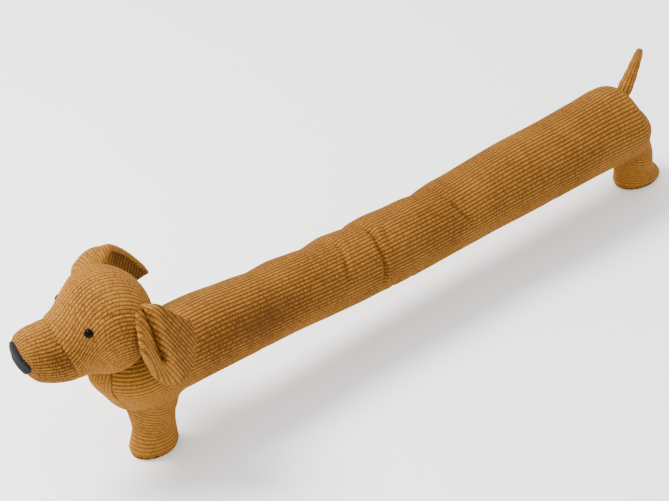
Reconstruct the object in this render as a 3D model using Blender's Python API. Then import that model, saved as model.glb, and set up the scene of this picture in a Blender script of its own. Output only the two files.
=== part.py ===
"""Dachshund-shaped draught excluder: a long stuffed tube of wide-wale corduroy on two stubby legs.

The dog faces -X, its mid-plane is y = 0 and it stands on z = 0. Lengths are in metres, and in
millimetres in the tables. The ridges of the corduroy are raised in the points of the faces.
"""
import math

import bmesh
import bpy
import numpy as np
from mathutils import Vector

MM = 0.001

# Centre of the finished dog's box in the frame in which it is drawn
ORIGIN = Vector((0.05425, 0.00583, 0.0))

# Cloth
WALE_RISE = 0.0004
GAP = 0.0003
MERGE = 2e-6
GUSSET_THICKNESS = 0.0012
SOLE_THICKNESS = 0.002
FELT_THICKNESS = 0.0016
EAR_THICKNESS = 0.0044
EAR_EDGE_THICKNESS = 0.0026
EAR_CLEARANCE = 0.002

# Body
BODY_WALES = 29
ROWS_PER_WALE = 2
SIDE_ANGLE = math.radians(100)
RUMP_X = 0.4383
REAR_TAB_X = 0.425
REAR_REACH_START = 0.372
FOOT_Z = SOLE_THICKNESS + GAP
FOOT_FLAT = 0.0006
SOLE_INSET = 0.0004
SOLE_STEPS = 40

# Body sections: x, height of the centre line, radius
BODY_SECTIONS = (
    (-286, 109.0, 40.6),
    (-235, 108.8, 41.6),
    (-187, 107.3, 41.8),
    (-143, 103.4, 40.0),
    (-98, 100.0, 38.4),
    (-30, 94.6, 37.9),
    (40, 92.0, 38.8),
    (112, 89.6, 38.9),
    (162, 89.0, 38.1),
    (211, 91.2, 39.6),
    (262, 92.2, 41.6),
    (340, 92.0, 42.0),
    (393, 92.6, 42.9),
    (438, 91.0, 43.6),
)

# Creases round the tube: x, depth, half width
CREASES = (
    (-58, 1.2, 12),
    (28, 1.0, 12),
    (72, 2.0, 9),
    (176, 1.4, 12),
)
TUBE_STATIONS = (-190, -140, -95, -58, -15, 28, 61, 72, 83, 125, 176, 235, 290, 340, 385)

# Leg hoops, from the crotch to the sole: share of the height, centre x, half length, half width
FRONT_LEG = (
    (0.00, -258.3, 27.5, 24.0),
    (0.30, -256.6, 25.2, 20.0),
    (0.55, -254.8, 24.2, 17.6),
    (0.80, -255.4, 26.8, 19.0),
    (0.95, -255.6, 27.6, 19.8),
    (1.00, -255.6, 26.8, 19.2),
)
REAR_LEG = (
    (0.00, 471.0, 28.0, 24.0),
    (0.30, 475.0, 26.4, 20.6),
    (0.50, 478.4, 26.4, 18.6),
    (0.80, 483.6, 30.2, 21.0),
    (0.95, 484.6, 31.0, 21.8),
    (1.00, 484.6, 30.2, 21.2),
)

# The rounded ends: share of the radius that they reach, between two angles from straight up
RUMP_REACH = 0.42
RUMP_SLOPE = (math.radians(40), math.radians(105))
CHEST_TUCK = 0.30
CHEST_SLOPE = (math.radians(80), math.radians(130))
CHEST_TURNS = (0, 18, 36, 54, 72)
FRONT_TAB_STEPS = 6
REAR_TAB_STEPS = 8
LEG_PULL = 1.15
LEG_STAND = 1.6
CHEST_X = (FRONT_LEG[0][1] - FRONT_LEG[0][2]) * MM
REAR_LEG_REACH = (REAR_LEG[0][1] - REAR_LEG[0][2]) * MM - REAR_TAB_X
FRONT_LEG_WALES = 12
REAR_LEG_WALES = 9
FRONT_HOOP_DROP = (0.010, 0.0)
REAR_HOOP_DROP = (0.006, 0.013)

# Head: the ball's centre, its turn to the dog's right and its nod
HEAD_CENTRE = Vector((-0.3157, 0.0, 0.1853))
HEAD_TURN = math.radians(18)
HEAD_NOD = math.radians(5)
HEAD_WALES = 32
MUZZLE_WALES = 22
BALL_RADIUS = 0.0535

# Head sections, back to front: distance ahead of the ball's centre, half width, half height,
# lift, and how far the top leads the bottom
HEAD_SECTIONS = (
    (-49.5, 0.0, 0.0, 0.0, 0.0),
    (-47.2, 15.5, 15.8, 0.0, 0.0),
    (-40.6, 29.5, 30.2, 0.0, 0.0),
    (-30.0, 41.5, 42.3, 0.0, 0.0),
    (-16.0, 50.0, 50.8, 0.0, 0.0),
    (0.0, 53.0, 53.5, 0.0, 0.0),
    (14.0, 48.6, 51.2, -1.2, 2.0),
    (26.0, 39.0, 45.0, -5.5, 5.0),
    (36.0, 32.4, 38.5, -12.2, 8.0),
    (46.0, 30.6, 34.5, -17.0, 10.0),
)
MUZZLE_SECTIONS = (
    (46.0, 30.6, 34.5, -17.0, 10.0),
    (58.0, 29.5, 33.3, -17.3, 9.0),
    (70.0, 27.5, 31.0, -16.0, 7.0),
    (82.0, 22.5, 25.6, -14.2, 5.0),
    (89.5, 13.0, 15.0, -11.8, 3.0),
    (92.5, 0.0, 0.0, -10.5, 0.0),
)
SEAM_RIDGE_FADE = 14.0
HEAD_STEPS = 17
MUZZLE_STEPS = 10
FINE_STEPS = 181

# Felt nose: how far along the muzzle its upper edge starts, its lower edge further ahead
NOSE_EDGE = 0.61
NOSE_EDGE_TILT = 0.15
NOSE_AROUND = 24
NOSE_STEPS = 5

# Eyes: distance ahead of the ball's centre, angle from the crown to the dog's left
LEFT_EYE = (24.5, 63)
RIGHT_EYE = (26.5, -67)
EYE_RADIUS = 0.0045
EYE_STAND = 0.0012
EYE_STEPS = 12

# Bead from its flat back to the top of its dome: share of the radius, height in millimetres
EYE_PROFILE = (
    (0.0, 0.0),
    (0.8, 0.0),
    (1.0, 1.0),
    (0.92, 2.2),
    (0.68, 3.3),
    (0.36, 3.9),
    (0.0, 4.1),
)

# Near ear spokes: root angle, tip x, y, z, bow outwards, bow forwards, bow upwards
LEFT_EAR_SPOKES = (
    (222, -311, -64, 156, 6, 11, 0),
    (208, -303, -67, 139, 9, 7, 0),
    (196, -296, -67, 131, 7, 3, 0),
    (186, -287, -64, 125, -3, 1, 0),
    (172, -278, -62, 121, 6, 5, 0),
    (150, -266, -61, 120, 11, 7, 0),
    (128, -255, -58, 122, 9, 5, 0),
    (106, -247, -56, 134, 7, 2, 0),
    (84, -243, -54, 152, 5, 0, -2),
    (58, -245, -52, 168, 3, -1, -5),
    (32, -249, -52, 177, 1, 0, -8),
)
LEFT_EAR_ROOT = (-299, -44.5, 209.5)
RIGHT_EAR_SPOKES = (
    (222, -286, 66, 160, 6, 0, 4),
    (208, -281, 72, 148, 10, 1, 7),
    (190, -272, 76, 140, 13, 2, 11),
    (172, -261, 78, 134, 14, 2, 13),
    (150, -247, 78, 132, 14, 2, 12),
    (128, -231, 76, 136, 13, 1, 11),
    (106, -217, 73, 144, 12, 0, 10),
    (84, -208, 69, 152, 11, -3, 10),
    (58, -204, 64, 159, 10, -5, 11),
    (32, -208, 58, 164, 8, -6, 8),
)
RIGHT_EAR_ROOT = (-287, 43, 214)
EAR_ROOT_RADIUS = 0.0115
EAR_ROOT_FLATTEN = 0.8
EAR_STEPS = 9

# Tail centre line: x, z, radius
TAIL_LINE = (
    (451.5, 124.0, 8.6),
    (456.5, 133.0, 7.8),
    (463.5, 144.0, 6.8),
    (470.0, 156.0, 5.6),
    (475.5, 167.0, 4.4),
    (479.0, 173.5, 3.0),
)
TAIL_WALES = 10
TAIL_STEPS = 13
TAIL_TIP = 0.0018

# Gusset: angle down the chest from straight up, half width
GUSSET_EDGE = (
    (61, 15.0),
    (75, 17.0),
    (90, 18.4),
    (110, 18.8),
    (130, 17.6),
    (148, 12.5),
    (160, 6.5),
)
GUSSET_WALES = 8
GUSSET_STEPS = 10

COLOURS = {
    "corduroy": (0.50, 0.235, 0.055),
    "felt": (0.045, 0.045, 0.05),
    "bead": (0.008, 0.008, 0.009),
}
ROUGHNESS = {"corduroy": 0.9, "felt": 0.95, "bead": 0.18}


def clear_scene():
    for item in list(bpy.data.objects):
        bpy.data.objects.remove(item)


def make_material(node, cloth):
    material = bpy.data.materials.new(f"{node}_{cloth}")
    material.use_nodes = True
    shader = material.node_tree.nodes["Principled BSDF"]
    shader.inputs["Base Color"].default_value = (*COLOURS[cloth], 1.0)
    shader.inputs["Roughness"].default_value = ROUGHNESS[cloth]
    shader.inputs["Metallic"].default_value = 0.0
    return material


def spline(at, knots, values):
    """Smooth curve through the knots, evaluated at each place in at."""
    knots = np.asarray(knots, float)
    values = np.asarray(values, float)
    at = np.clip(np.asarray(at, float), knots[0], knots[-1])
    slopes = np.gradient(values, knots)
    k = np.clip(np.searchsorted(knots, at, side="right") - 1, 0, len(knots) - 2)
    span = knots[k + 1] - knots[k]
    t = (at - knots[k]) / span
    return (
        values[k] * (1 + 2 * t) * (1 - t) ** 2
        + values[k + 1] * t * t * (3 - 2 * t)
        + span * t * (1 - t) * (slopes[k] * (1 - t) - slopes[k + 1] * t)
    )


def smooth_step(t):
    t = np.clip(t, 0.0, 1.0)
    return t * t * (3 - 2 * t)


def columns_of(table):
    """The table's columns as arrays, in metres."""
    data = np.array(table, float)
    return [data[:, k] * MM for k in range(data.shape[1])]


def body_section(x):
    """Height of the centre line and radius of the tube at x."""
    place, height, radius = columns_of(BODY_SECTIONS)
    centre = spline(x, place, height)
    size = spline(x, place, radius)
    for crease_x, depth, half_width in CREASES:
        away = (np.asarray(x) - crease_x * MM) / (half_width * MM)
        size = size - depth * MM * np.exp(-away * away)
    return centre, size


def cap_reach(turn, angle):
    """Share of the radius that an end reaches: the rump slopes and the chest tucks in below."""
    low, high = RUMP_SLOPE
    rump = RUMP_REACH + (1 - RUMP_REACH) * smooth_step((angle - low) / (high - low))
    low, high = CHEST_SLOPE
    chest = 1 - CHEST_TUCK * smooth_step((angle - low) / (high - low))
    return np.where(turn > math.pi / 2, rump, chest)


def tube_point(x, turn, angle):
    """Point on the capped tube: turn is 90 degrees along the side, 0 ahead and 180 behind."""
    centre, radius = body_section(x)
    reach = cap_reach(turn, angle)
    return np.stack([
        x - radius * np.sin(angle) * np.cos(turn) * reach,
        -radius * np.sin(angle) * np.sin(turn),
        centre + radius * np.cos(angle) + 0 * turn,
    ], axis=-1)


def hoop_top(leg, t):
    """Height at which a leg's hoops begin, at hoop angle t from the leg's front."""
    if leg == "front":
        ends = FRONT_LEG[0][1] * MM + FRONT_LEG[0][2] * MM * np.array([-1.0, 1.0])
        drops = FRONT_HOOP_DROP
    else:
        ends = np.array([REAR_TAB_X + REAR_LEG_REACH, RUMP_X])
        drops = REAR_HOOP_DROP
    centre, radius = body_section(ends)
    level = centre - radius
    share = smooth_step(t / math.pi)
    return level[0] + (level[1] - level[0]) * share - drops[0] * np.sin(t) - drops[1] * share


def hoop_point(leg, t, share):
    """Point on a leg: hoop angle t from its front, share of the way down to the sole."""
    table = FRONT_LEG if leg == "front" else REAR_LEG
    data = np.array(table, float)
    centre, length, width = (spline(share, data[:, 0], data[:, k]) * MM for k in (1, 2, 3))
    top = hoop_top(leg, t)
    return np.stack([
        centre - length * np.cos(t),
        -width * np.sin(t) + 0 * top,
        top + (FOOT_Z - top) * share,
    ], axis=-1)


def body_columns():
    """Columns of the body's half, front to back: x, turn, hoop angle, leg or None."""
    front_x, front_a = FRONT_LEG[0][1] * MM, FRONT_LEG[0][2] * MM
    columns = [(CHEST_X, math.radians(a), None, None) for a in CHEST_TURNS]
    for k in range(FRONT_TAB_STEPS):
        t = math.pi * k / FRONT_TAB_STEPS
        columns.append((front_x - front_a * math.cos(t), math.pi / 2, t, "front"))
    columns.append((front_x + front_a, math.pi / 2, None, None))
    columns += [(x * MM, math.pi / 2, None, None) for x in TUBE_STATIONS]
    tube_part = RUMP_X - REAR_TAB_X
    _, radius = body_section(RUMP_X)
    whole = tube_part + radius * math.pi / 2
    for k in range(REAR_TAB_STEPS + 1):
        along = whole * k / REAR_TAB_STEPS
        x = min(REAR_TAB_X + along, RUMP_X)
        turn = math.pi / 2 + max(0.0, along - tube_part) / radius
        columns.append((x, turn, math.pi * k / REAR_TAB_STEPS, "rear"))
    return columns


def body_column(x, turn, t, leg, angles):
    """Points of one column of the body, from the spine to the belly."""
    upper = np.minimum(angles, SIDE_ANGLE)
    share = (angles - upper) / (math.pi - SIDE_ANGLE)
    if leg is None:
        reach = REAR_LEG_REACH * smooth_step((x - REAR_REACH_START) / (REAR_TAB_X - REAR_REACH_START))
        points = tube_point(np.full_like(angles, x), turn, angles)
        points[:, 0] += reach * smooth_step(share)
        return points
    points = tube_point(np.full_like(angles, x), turn, upper)
    start = tube_point(np.array([x]), turn, np.array([SIDE_ANGLE]))[0]
    end = hoop_point(leg, np.array([t]), np.array([0.0]))[0]
    length = LEG_PULL * np.linalg.norm(end - start)
    near = SIDE_ANGLE + np.array([-0.01, 0.01])
    first = np.diff(tube_point(np.full(2, x), turn, near), axis=0)[0]
    first *= length / np.linalg.norm(first)
    stand = smooth_step(math.sin(t) * LEG_STAND) if leg == "front" or t < math.pi / 2 else 1.0
    last = np.array([0.0, 1.0 - stand, -stand])
    last *= length / np.linalg.norm(last)
    s = share[:, None]
    curve = (
        start * (1 + 2 * s) * (1 - s) ** 2
        + first * s * (1 - s) ** 2
        + end * s * s * (3 - 2 * s)
        - last * s * s * (1 - s)
    )
    return np.where(s > 0, curve, points)


class Shell:
    """Collects points, with the height of the ridge on each, and the faces between them."""

    def __init__(self):
        self.points = []
        self.rise = []
        self.faces = []

    def grid(self, points, rise):
        """Adds a grid of points and returns their numbers."""
        rows, columns = points.shape[:2]
        first = len(self.points)
        self.points.extend(points.reshape(-1, 3).tolist())
        self.rise.extend(np.broadcast_to(rise, (rows, columns)).reshape(-1).tolist())
        return first + np.arange(rows * columns).reshape(rows, columns)

    def skin(self, numbers):
        """Faces between the neighbours of a grid of point numbers."""
        for i in range(numbers.shape[0] - 1):
            for j in range(numbers.shape[1] - 1):
                self.faces.append([
                    int(numbers[i, j]), int(numbers[i + 1, j]),
                    int(numbers[i + 1, j + 1]), int(numbers[i, j + 1]),
                ])

    def fan(self, ring, centre):
        """Triangles from a ring of point numbers to a new point."""
        self.points.append(list(centre))
        self.rise.append(0.0)
        tip = len(self.points) - 1
        for a, b in zip(ring[:-1], ring[1:]):
            self.faces.append([int(a), int(b), tip])

    def build(self, name, cloth, mirrored=False, seat=None, smooth_angle=60):
        """Makes the closed object: merges its seams, raises its ridges and seats it."""
        points, faces = list(self.points), list(self.faces)
        rise = list(self.rise)
        if mirrored:
            count = len(points)
            points += [(x, -y, z) for x, y, z in self.points]
            faces += [[k + count for k in reversed(face)] for face in self.faces]
            rise += rise
        mesh = bpy.data.meshes.new(name)
        work = bmesh.new()
        layer = work.verts.layers.float.new("rise")
        made = []
        for point, height in zip(points, rise):
            vertex = work.verts.new(point)
            vertex[layer] = height
            made.append(vertex)
        for face in faces:
            work.faces.new([made[k] for k in face])
        bmesh.ops.remove_doubles(work, verts=work.verts, dist=MERGE)
        bmesh.ops.recalc_face_normals(work, faces=work.faces)
        work.normal_update()
        for vertex in work.verts:
            vertex.co += vertex.normal * vertex[layer]
            if seat:
                vertex.co = seat(vertex.co)
        bmesh.ops.triangulate(work, faces=[f for f in work.faces if len(f.verts) > 4])
        work.to_mesh(mesh)
        work.free()
        item = bpy.data.objects.new(name, mesh)
        bpy.context.scene.collection.objects.link(item)
        mesh.materials.append(make_material(name, cloth))
        mesh.shade_smooth()
        mesh.set_sharp_from_angle(angle=math.radians(smooth_angle))
        item.location = -ORIGIN
        return item


def ridges(count):
    """Ridge heights for rows that run valley, ridge, valley."""
    return WALE_RISE * np.where(np.arange(count) % 2 == 0, -1.0, 1.0)


def make_body():
    shell = Shell()
    columns = body_columns()
    rows = BODY_WALES * ROWS_PER_WALE + 1
    angles = np.linspace(0, math.pi, rows)
    grid = np.array([body_column(*column, angles) for column in columns])
    on_seam = {0, len(columns) - 1}
    for i, (x, turn, t, leg) in enumerate(columns):
        if i in on_seam:
            grid[i, :, 1] = 0.0
        grid[i, 0, 1] = 0.0
        if leg is None:
            grid[i, -1, 1] = 0.0
    numbers = shell.grid(grid, ridges(rows)[None, :])
    shell.skin(numbers)
    for leg, wales in (("front", FRONT_LEG_WALES), ("rear", REAR_LEG_WALES)):
        tab = [i for i, column in enumerate(columns) if column[3] == leg]
        hoop_angles = [columns[i][2] for i in tab]
        if leg == "front":
            tab.append(tab[-1] + 1)
            hoop_angles.append(math.pi)
        steps = wales * ROWS_PER_WALE
        shares = np.linspace(0, 1, steps + 1)
        hoops = hoop_point(leg, np.array(hoop_angles)[:, None], shares[None, :])
        hoops[0, :, 1] = 0.0
        hoops[-1, :, 1] = 0.0
        rise = ridges(steps + 1)
        rise[-1] = 0.0
        leg_numbers = shell.grid(hoops[:, 1:], rise[None, 1:])
        shell.skin(np.concatenate([numbers[tab, -1:], leg_numbers], axis=1))
        middle = (FRONT_LEG if leg == "front" else REAR_LEG)[-1][1] * MM
        shell.fan(leg_numbers[:, -1], (middle, 0.0, FOOT_Z))
    return shell.build("body", "corduroy", mirrored=True, seat=flat_foot)


def flat_foot(point):
    """Keeps a foot's last hoop flat on its sole."""
    if point.z < FOOT_Z + FOOT_FLAT:
        return Vector((point.x, point.y, FOOT_Z))
    return point


def make_sole(name, leg):
    """Flat oval sole under a foot."""
    _, centre, length, width = leg[-1]
    count = SOLE_STEPS
    t = np.linspace(0, 2 * math.pi, count + 1)[:-1]
    shell = Shell()
    rings = []
    for z, inset in ((0.0, 1.0), (SOLE_THICKNESS, 0.0)):
        edge = SOLE_INSET * inset
        ring = np.stack([
            centre * MM - (length * MM - edge) * np.cos(t),
            -(width * MM - edge) * np.sin(t),
            np.full(count, z),
        ], axis=-1)
        rings.append(shell.grid(ring[:, None, :], 0.0)[:, 0])
    wall = np.stack([np.append(r, r[0]) for r in rings], axis=1)
    shell.skin(wall)
    for ring, z in zip(rings, (0.0, SOLE_THICKNESS)):
        shell.fan(np.append(ring, ring[0]), (centre * MM, 0.0, z))
    return shell.build(name, "corduroy", smooth_angle=30)


def head_axes():
    """Directions ahead, to the dog's left and up, in the head's own frame."""
    turn, nod = HEAD_TURN, HEAD_NOD
    ahead = Vector((-math.cos(turn) * math.cos(nod), math.sin(turn) * math.cos(nod), -math.sin(nod)))
    left = Vector((-math.sin(turn), -math.cos(turn), 0.0))
    up = left.cross(ahead)
    if up.z < 0:
        up = -up
    return ahead, left, up


def head_point(section, angle):
    """Points of a section of the head or muzzle, at angles from its top."""
    ahead, left, up = (np.array(axis) for axis in head_axes())
    distance, width, height, lift, rake = (value * MM for value in section)
    return (
        np.array(HEAD_CENTRE)
        + ahead * (distance + rake * np.cos(angle))[:, None]
        + left * (width * np.sin(angle))[:, None]
        + up * (lift + height * np.cos(angle))[:, None]
    )


def loft_sections(table, steps):
    """Sections at even steps along the table's rows, on a smooth curve with a round end."""
    data = np.array(table, float)
    at = np.arange(len(data), dtype=float)
    places = np.linspace(0, len(data) - 1, steps)
    padded = np.vstack([data[1], data, data[-2]])
    padded[0, 1:3] *= -1 if data[0, 1] == 0 else 1
    padded[-1, 1:3] *= -1 if data[-1, 1] == 0 else 1
    if data[0, 1] != 0:
        padded[0] = 2 * data[0] - data[1]
    if data[-1, 1] != 0:
        padded[-1] = 2 * data[-1] - data[-2]
    knots = np.concatenate([[-1.0], at, [at[-1] + 1]])
    return np.stack([spline(places, knots, padded[:, k]) for k in range(5)], axis=1)


def lofted(name, sections, wales, seat=None, seam_end="last"):
    """Closed loft of head sections, with a flat face at its seam end and a pole at the other."""
    shell = Shell()
    around = wales * 2
    angle = np.linspace(0, 2 * math.pi, around + 1)[:-1]
    grid = np.array([head_point(section, angle) for section in sections])
    rise = np.broadcast_to(ridges(around), grid.shape[:2]).copy()
    widths = sections[:, 1]
    rise *= np.clip(widths / SEAM_RIDGE_FADE, 0, 1)[:, None]
    seam_row = 0 if seam_end == "first" else len(sections) - 1
    rise[seam_row] = 0.0
    numbers = shell.grid(grid, rise)
    numbers = np.concatenate([numbers, numbers[:, :1]], axis=1)
    shell.skin(numbers)
    section = sections[seam_row]
    centre = head_point((section[0], 0.0, 0.0, section[3], 0.0), np.array([0.0]))[0]
    shell.fan(numbers[seam_row], centre)
    return shell.build(name, "corduroy", seat=seat, smooth_angle=70)


def clear_of_body(margin):
    """Pushes a point off the tube's surface, away from its centre line."""
    def seat(point):
        x = min(max(point.x, CHEST_X), RUMP_X)
        centre, radius = body_section(x)
        axis = Vector((x, 0.0, centre))
        away = point - axis
        limit = float(radius) + WALE_RISE + margin
        turn = math.pi if point.x > RUMP_X else 0.0
        angle = math.acos(min(1.0, max(-1.0, away.z / limit)))
        squash = Vector((float(cap_reach(turn, angle)), 1.0, 1.0))
        round_away = Vector((away.x / squash.x, away.y, away.z))
        if round_away.length < limit:
            return axis + round_away.normalized() * limit * squash
        return point
    return seat


def clear_of_head(point, margin):
    away = point - HEAD_CENTRE
    reach = BALL_RADIUS + WALE_RISE + margin
    if away.length < reach:
        return HEAD_CENTRE + away.normalized() * reach
    return point


def make_head():
    sections = loft_sections(HEAD_SECTIONS, HEAD_STEPS)
    sections[-1, 0] -= GAP / MM
    lofted("head", sections, HEAD_WALES, seat=clear_of_body(2 * GAP))
    sections = loft_sections(MUZZLE_SECTIONS, MUZZLE_STEPS)
    lofted("muzzle", sections, MUZZLE_WALES, seam_end="first")


def outward_normals(grid, middle, closed=False):
    """Unit normals of a grid of points, pointing away from the middle."""
    if closed:
        across = np.roll(grid, -1, axis=1) - np.roll(grid, 1, axis=1)
    else:
        across = np.gradient(grid, axis=1)
    normal = np.cross(np.gradient(grid, axis=0), across)
    normal /= np.maximum(np.linalg.norm(normal, axis=2, keepdims=True), 1e-12)
    away = np.sum(normal * (grid - np.asarray(middle)))
    return normal if away > 0 else -normal


def make_nose():
    """Felt patch over the muzzle's tip, its upper edge further back than its lower one."""
    angle = np.linspace(0, 2 * math.pi, NOSE_AROUND + 1)[:-1]
    fine = loft_sections(MUZZLE_SECTIONS, FINE_STEPS)
    last = FINE_STEPS - 1
    grid = np.zeros((NOSE_STEPS, NOSE_AROUND, 3))
    for j, a in enumerate(angle):
        start = last * (NOSE_EDGE + NOSE_EDGE_TILT * (1 - math.cos(a)) / 2)
        for i, share in enumerate(np.linspace(0, 1, NOSE_STEPS)):
            section = fine[int(round(start + (last - start) * share))]
            grid[i, j] = head_point(section, np.array([a]))[0]
    normal = outward_normals(grid, grid[0].mean(axis=0), closed=True)
    normal[-1] = head_axes()[0]
    shell = Shell()
    loops = []
    for offset in (GAP + WALE_RISE, GAP + WALE_RISE + FELT_THICKNESS):
        numbers = shell.grid(grid + normal * offset, 0.0)
        numbers = np.concatenate([numbers, numbers[:, :1]], axis=1)
        shell.skin(numbers)
        loops.append(numbers[0])
    shell.skin(np.stack(loops, axis=1))
    return shell.build("nose_patch", "felt", smooth_angle=50)


def head_surface(distance, angle):
    """Place on the head and its outward normal, by distance ahead and angle from the crown."""
    fine = loft_sections(HEAD_SECTIONS, FINE_STEPS)
    rows = [np.array([np.interp(d, fine[:, 0], fine[:, k]) for k in range(5)])
            for d in (distance - 1, distance, distance + 1)]
    here, side_step = (head_point(rows[1], np.array([a]))[0] for a in (angle, angle + 0.02))
    behind, before = (head_point(rows[k], np.array([angle]))[0] for k in (0, 2))
    normal = Vector(np.cross(before - behind, side_step - here)).normalized()
    place = Vector(here)
    if normal.dot(place - HEAD_CENTRE) < 0:
        normal = -normal
    return place, normal


def make_eye(name, ahead, degrees):
    """Domed bead sewn flat to the head."""
    place, outward = head_surface(ahead, math.radians(degrees))
    spin = outward.orthogonal().normalized()
    other = outward.cross(spin)
    shell = Shell()
    angle = np.linspace(0, 2 * math.pi, EYE_STEPS + 1)[:-1]
    rings = []
    for share, height in EYE_PROFILE:
        centre = place + outward * (WALE_RISE + EYE_STAND + height * MM)
        rings.append([
            list(centre + (spin * math.cos(a) + other * math.sin(a)) * (share * EYE_RADIUS))
            for a in angle
        ])
    numbers = shell.grid(np.array(rings), 0.0)
    shell.skin(np.concatenate([numbers, numbers[:, :1]], axis=1))
    return shell.build(name, "bead", smooth_angle=50)


def make_ear(name, root, spokes, side):
    """Double-layer flap: spokes fan out from a rolled root, and the cloth lies over them."""
    across = 2 * (len(spokes) - 1) + 1
    data = np.array(spokes, float)
    at = np.arange(len(spokes), dtype=float)
    places = np.linspace(0, len(spokes) - 1, across)
    angle, tip_x, tip_y, tip_z, out, fore, rise = (spline(places, at, data[:, k]) for k in range(7))
    angle = np.radians(angle)
    rooted = np.stack([
        root[0] * MM + EAR_ROOT_RADIUS * np.cos(angle),
        np.full(across, root[1] * MM),
        root[2] * MM + EAR_ROOT_RADIUS * np.sin(angle) * EAR_ROOT_FLATTEN,
    ], axis=1)
    tips = np.stack([tip_x, tip_y, tip_z], axis=1) * MM
    share = np.linspace(0, 1, EAR_STEPS)[:, None]
    arch = 4 * share * (1 - share)
    grid = rooted[None] * (1 - share[:, :, None]) + tips[None] * share[:, :, None]
    grid[:, :, 1] -= side * arch * out[None] * MM
    grid[:, :, 0] -= arch * fore[None] * MM
    grid[:, :, 2] += arch * rise[None] * MM
    normal = outward_normals(grid, HEAD_CENTRE)
    edge = np.ones((EAR_STEPS, across))
    edge[-1] = 0.0
    edge[:, 0] = 0.0
    edge[:, -1] = 0.0
    half = EAR_EDGE_THICKNESS / 2 + edge * (EAR_THICKNESS - EAR_EDGE_THICKNESS) / 2
    shell = Shell()
    top = shell.grid(grid + normal * half[:, :, None], 0.0)
    under = shell.grid(grid - normal * half[:, :, None], 0.0)
    shell.skin(top)
    shell.skin(under)
    for a, b in ((top[0], under[0]), (top[-1], under[-1]), (top[:, 0], under[:, 0]),
                 (top[:, -1], under[:, -1])):
        shell.skin(np.stack([a, b], axis=1))

    def seat(point):
        point = clear_of_head(point, 2 * GAP)
        return clear_of_body(EAR_CLEARANCE)(point)
    return shell.build(name, "corduroy", seat=seat, smooth_angle=50)


def make_tail():
    data = np.array(TAIL_LINE, float)
    at = np.arange(len(data), dtype=float)
    places = np.linspace(0, len(data) - 1, TAIL_STEPS)
    x, z, radius = (spline(places, at, data[:, k]) * MM for k in range(3))
    slope_x = np.gradient(x)
    slope_z = np.gradient(z)
    length = np.hypot(slope_x, slope_z)
    around = TAIL_WALES * 2
    angle = np.linspace(0, 2 * math.pi, around + 1)[:-1]
    shell = Shell()
    grid = np.zeros((len(x), around, 3))
    grid[:, :, 0] = x[:, None] + (slope_z / length * radius)[:, None] * np.cos(angle)[None]
    grid[:, :, 1] = radius[:, None] * np.sin(angle)[None]
    grid[:, :, 2] = z[:, None] - (slope_x / length * radius)[:, None] * np.cos(angle)[None]
    rise = np.broadcast_to(ridges(around), grid.shape[:2])
    numbers = shell.grid(grid, rise)
    numbers = np.concatenate([numbers, numbers[:, :1]], axis=1)
    shell.skin(numbers)
    shell.fan(numbers[0], (x[0], 0.0, z[0]))
    tip = TAIL_TIP / length[-1]
    shell.fan(numbers[-1], (x[-1] + slope_x[-1] * tip, 0.0, z[-1] + slope_z[-1] * tip))
    return shell.build("tail", "corduroy", seat=clear_of_body(3 * GAP), smooth_angle=70)


def make_gusset():
    """Narrow panel down the front of the chest, its wales running down it."""
    data = np.array(GUSSET_EDGE, float)
    degrees = np.linspace(data[0, 0], data[-1, 0], GUSSET_STEPS)
    half_width = spline(degrees, data[:, 0], data[:, 1]) * MM
    down = np.radians(degrees)[:, None]
    centre, radius = body_section(CHEST_X)
    across = GUSSET_WALES * 2 + 1
    turn = half_width[:, None] * np.linspace(-1, 1, across)[None] / (radius * np.sin(down))
    grid = tube_point(CHEST_X + 0 * turn, turn, down + 0 * turn)
    normal = outward_normals(grid, (CHEST_X, 0.0, centre))
    ridge = -ridges(across)
    ridge[0] = ridge[-1] = 0.0
    floor = WALE_RISE + 2 * GAP
    shell = Shell()
    layers = []
    for lift, rise in ((floor, 0.0), (floor + GUSSET_THICKNESS, ridge[None])):
        layers.append(shell.grid(grid + normal * lift, rise))
    inner, outer = layers
    shell.skin(inner)
    shell.skin(outer)
    for a, b in ((inner[0], outer[0]), (inner[-1], outer[-1]), (inner[:, 0], outer[:, 0]),
                 (inner[:, -1], outer[:, -1])):
        shell.skin(np.stack([a, b], axis=1))
    return shell.build("chest_gusset", "corduroy", smooth_angle=60)


def main():
    clear_scene()
    make_body()
    make_gusset()
    make_sole("front_sole", FRONT_LEG)
    make_sole("rear_sole", REAR_LEG)
    make_head()
    make_nose()
    make_eye("eye_left", *LEFT_EYE)
    make_eye("eye_right", *RIGHT_EYE)
    make_ear("ear_left", LEFT_EAR_ROOT, LEFT_EAR_SPOKES, 1)
    make_ear("ear_right", RIGHT_EAR_ROOT, RIGHT_EAR_SPOKES, -1)
    make_tail()


main()
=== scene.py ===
"""A dog-shaped draught excluder in golden wide-wale corduroy, dressed over its plain solids.

Lengths are metres, and millimetres in the tables. The dog faces -X and its left side faces -Y.
The shapes are drawn about the dog's own mid-plane and moved to the frame by ORIGIN.
"""
import math

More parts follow.
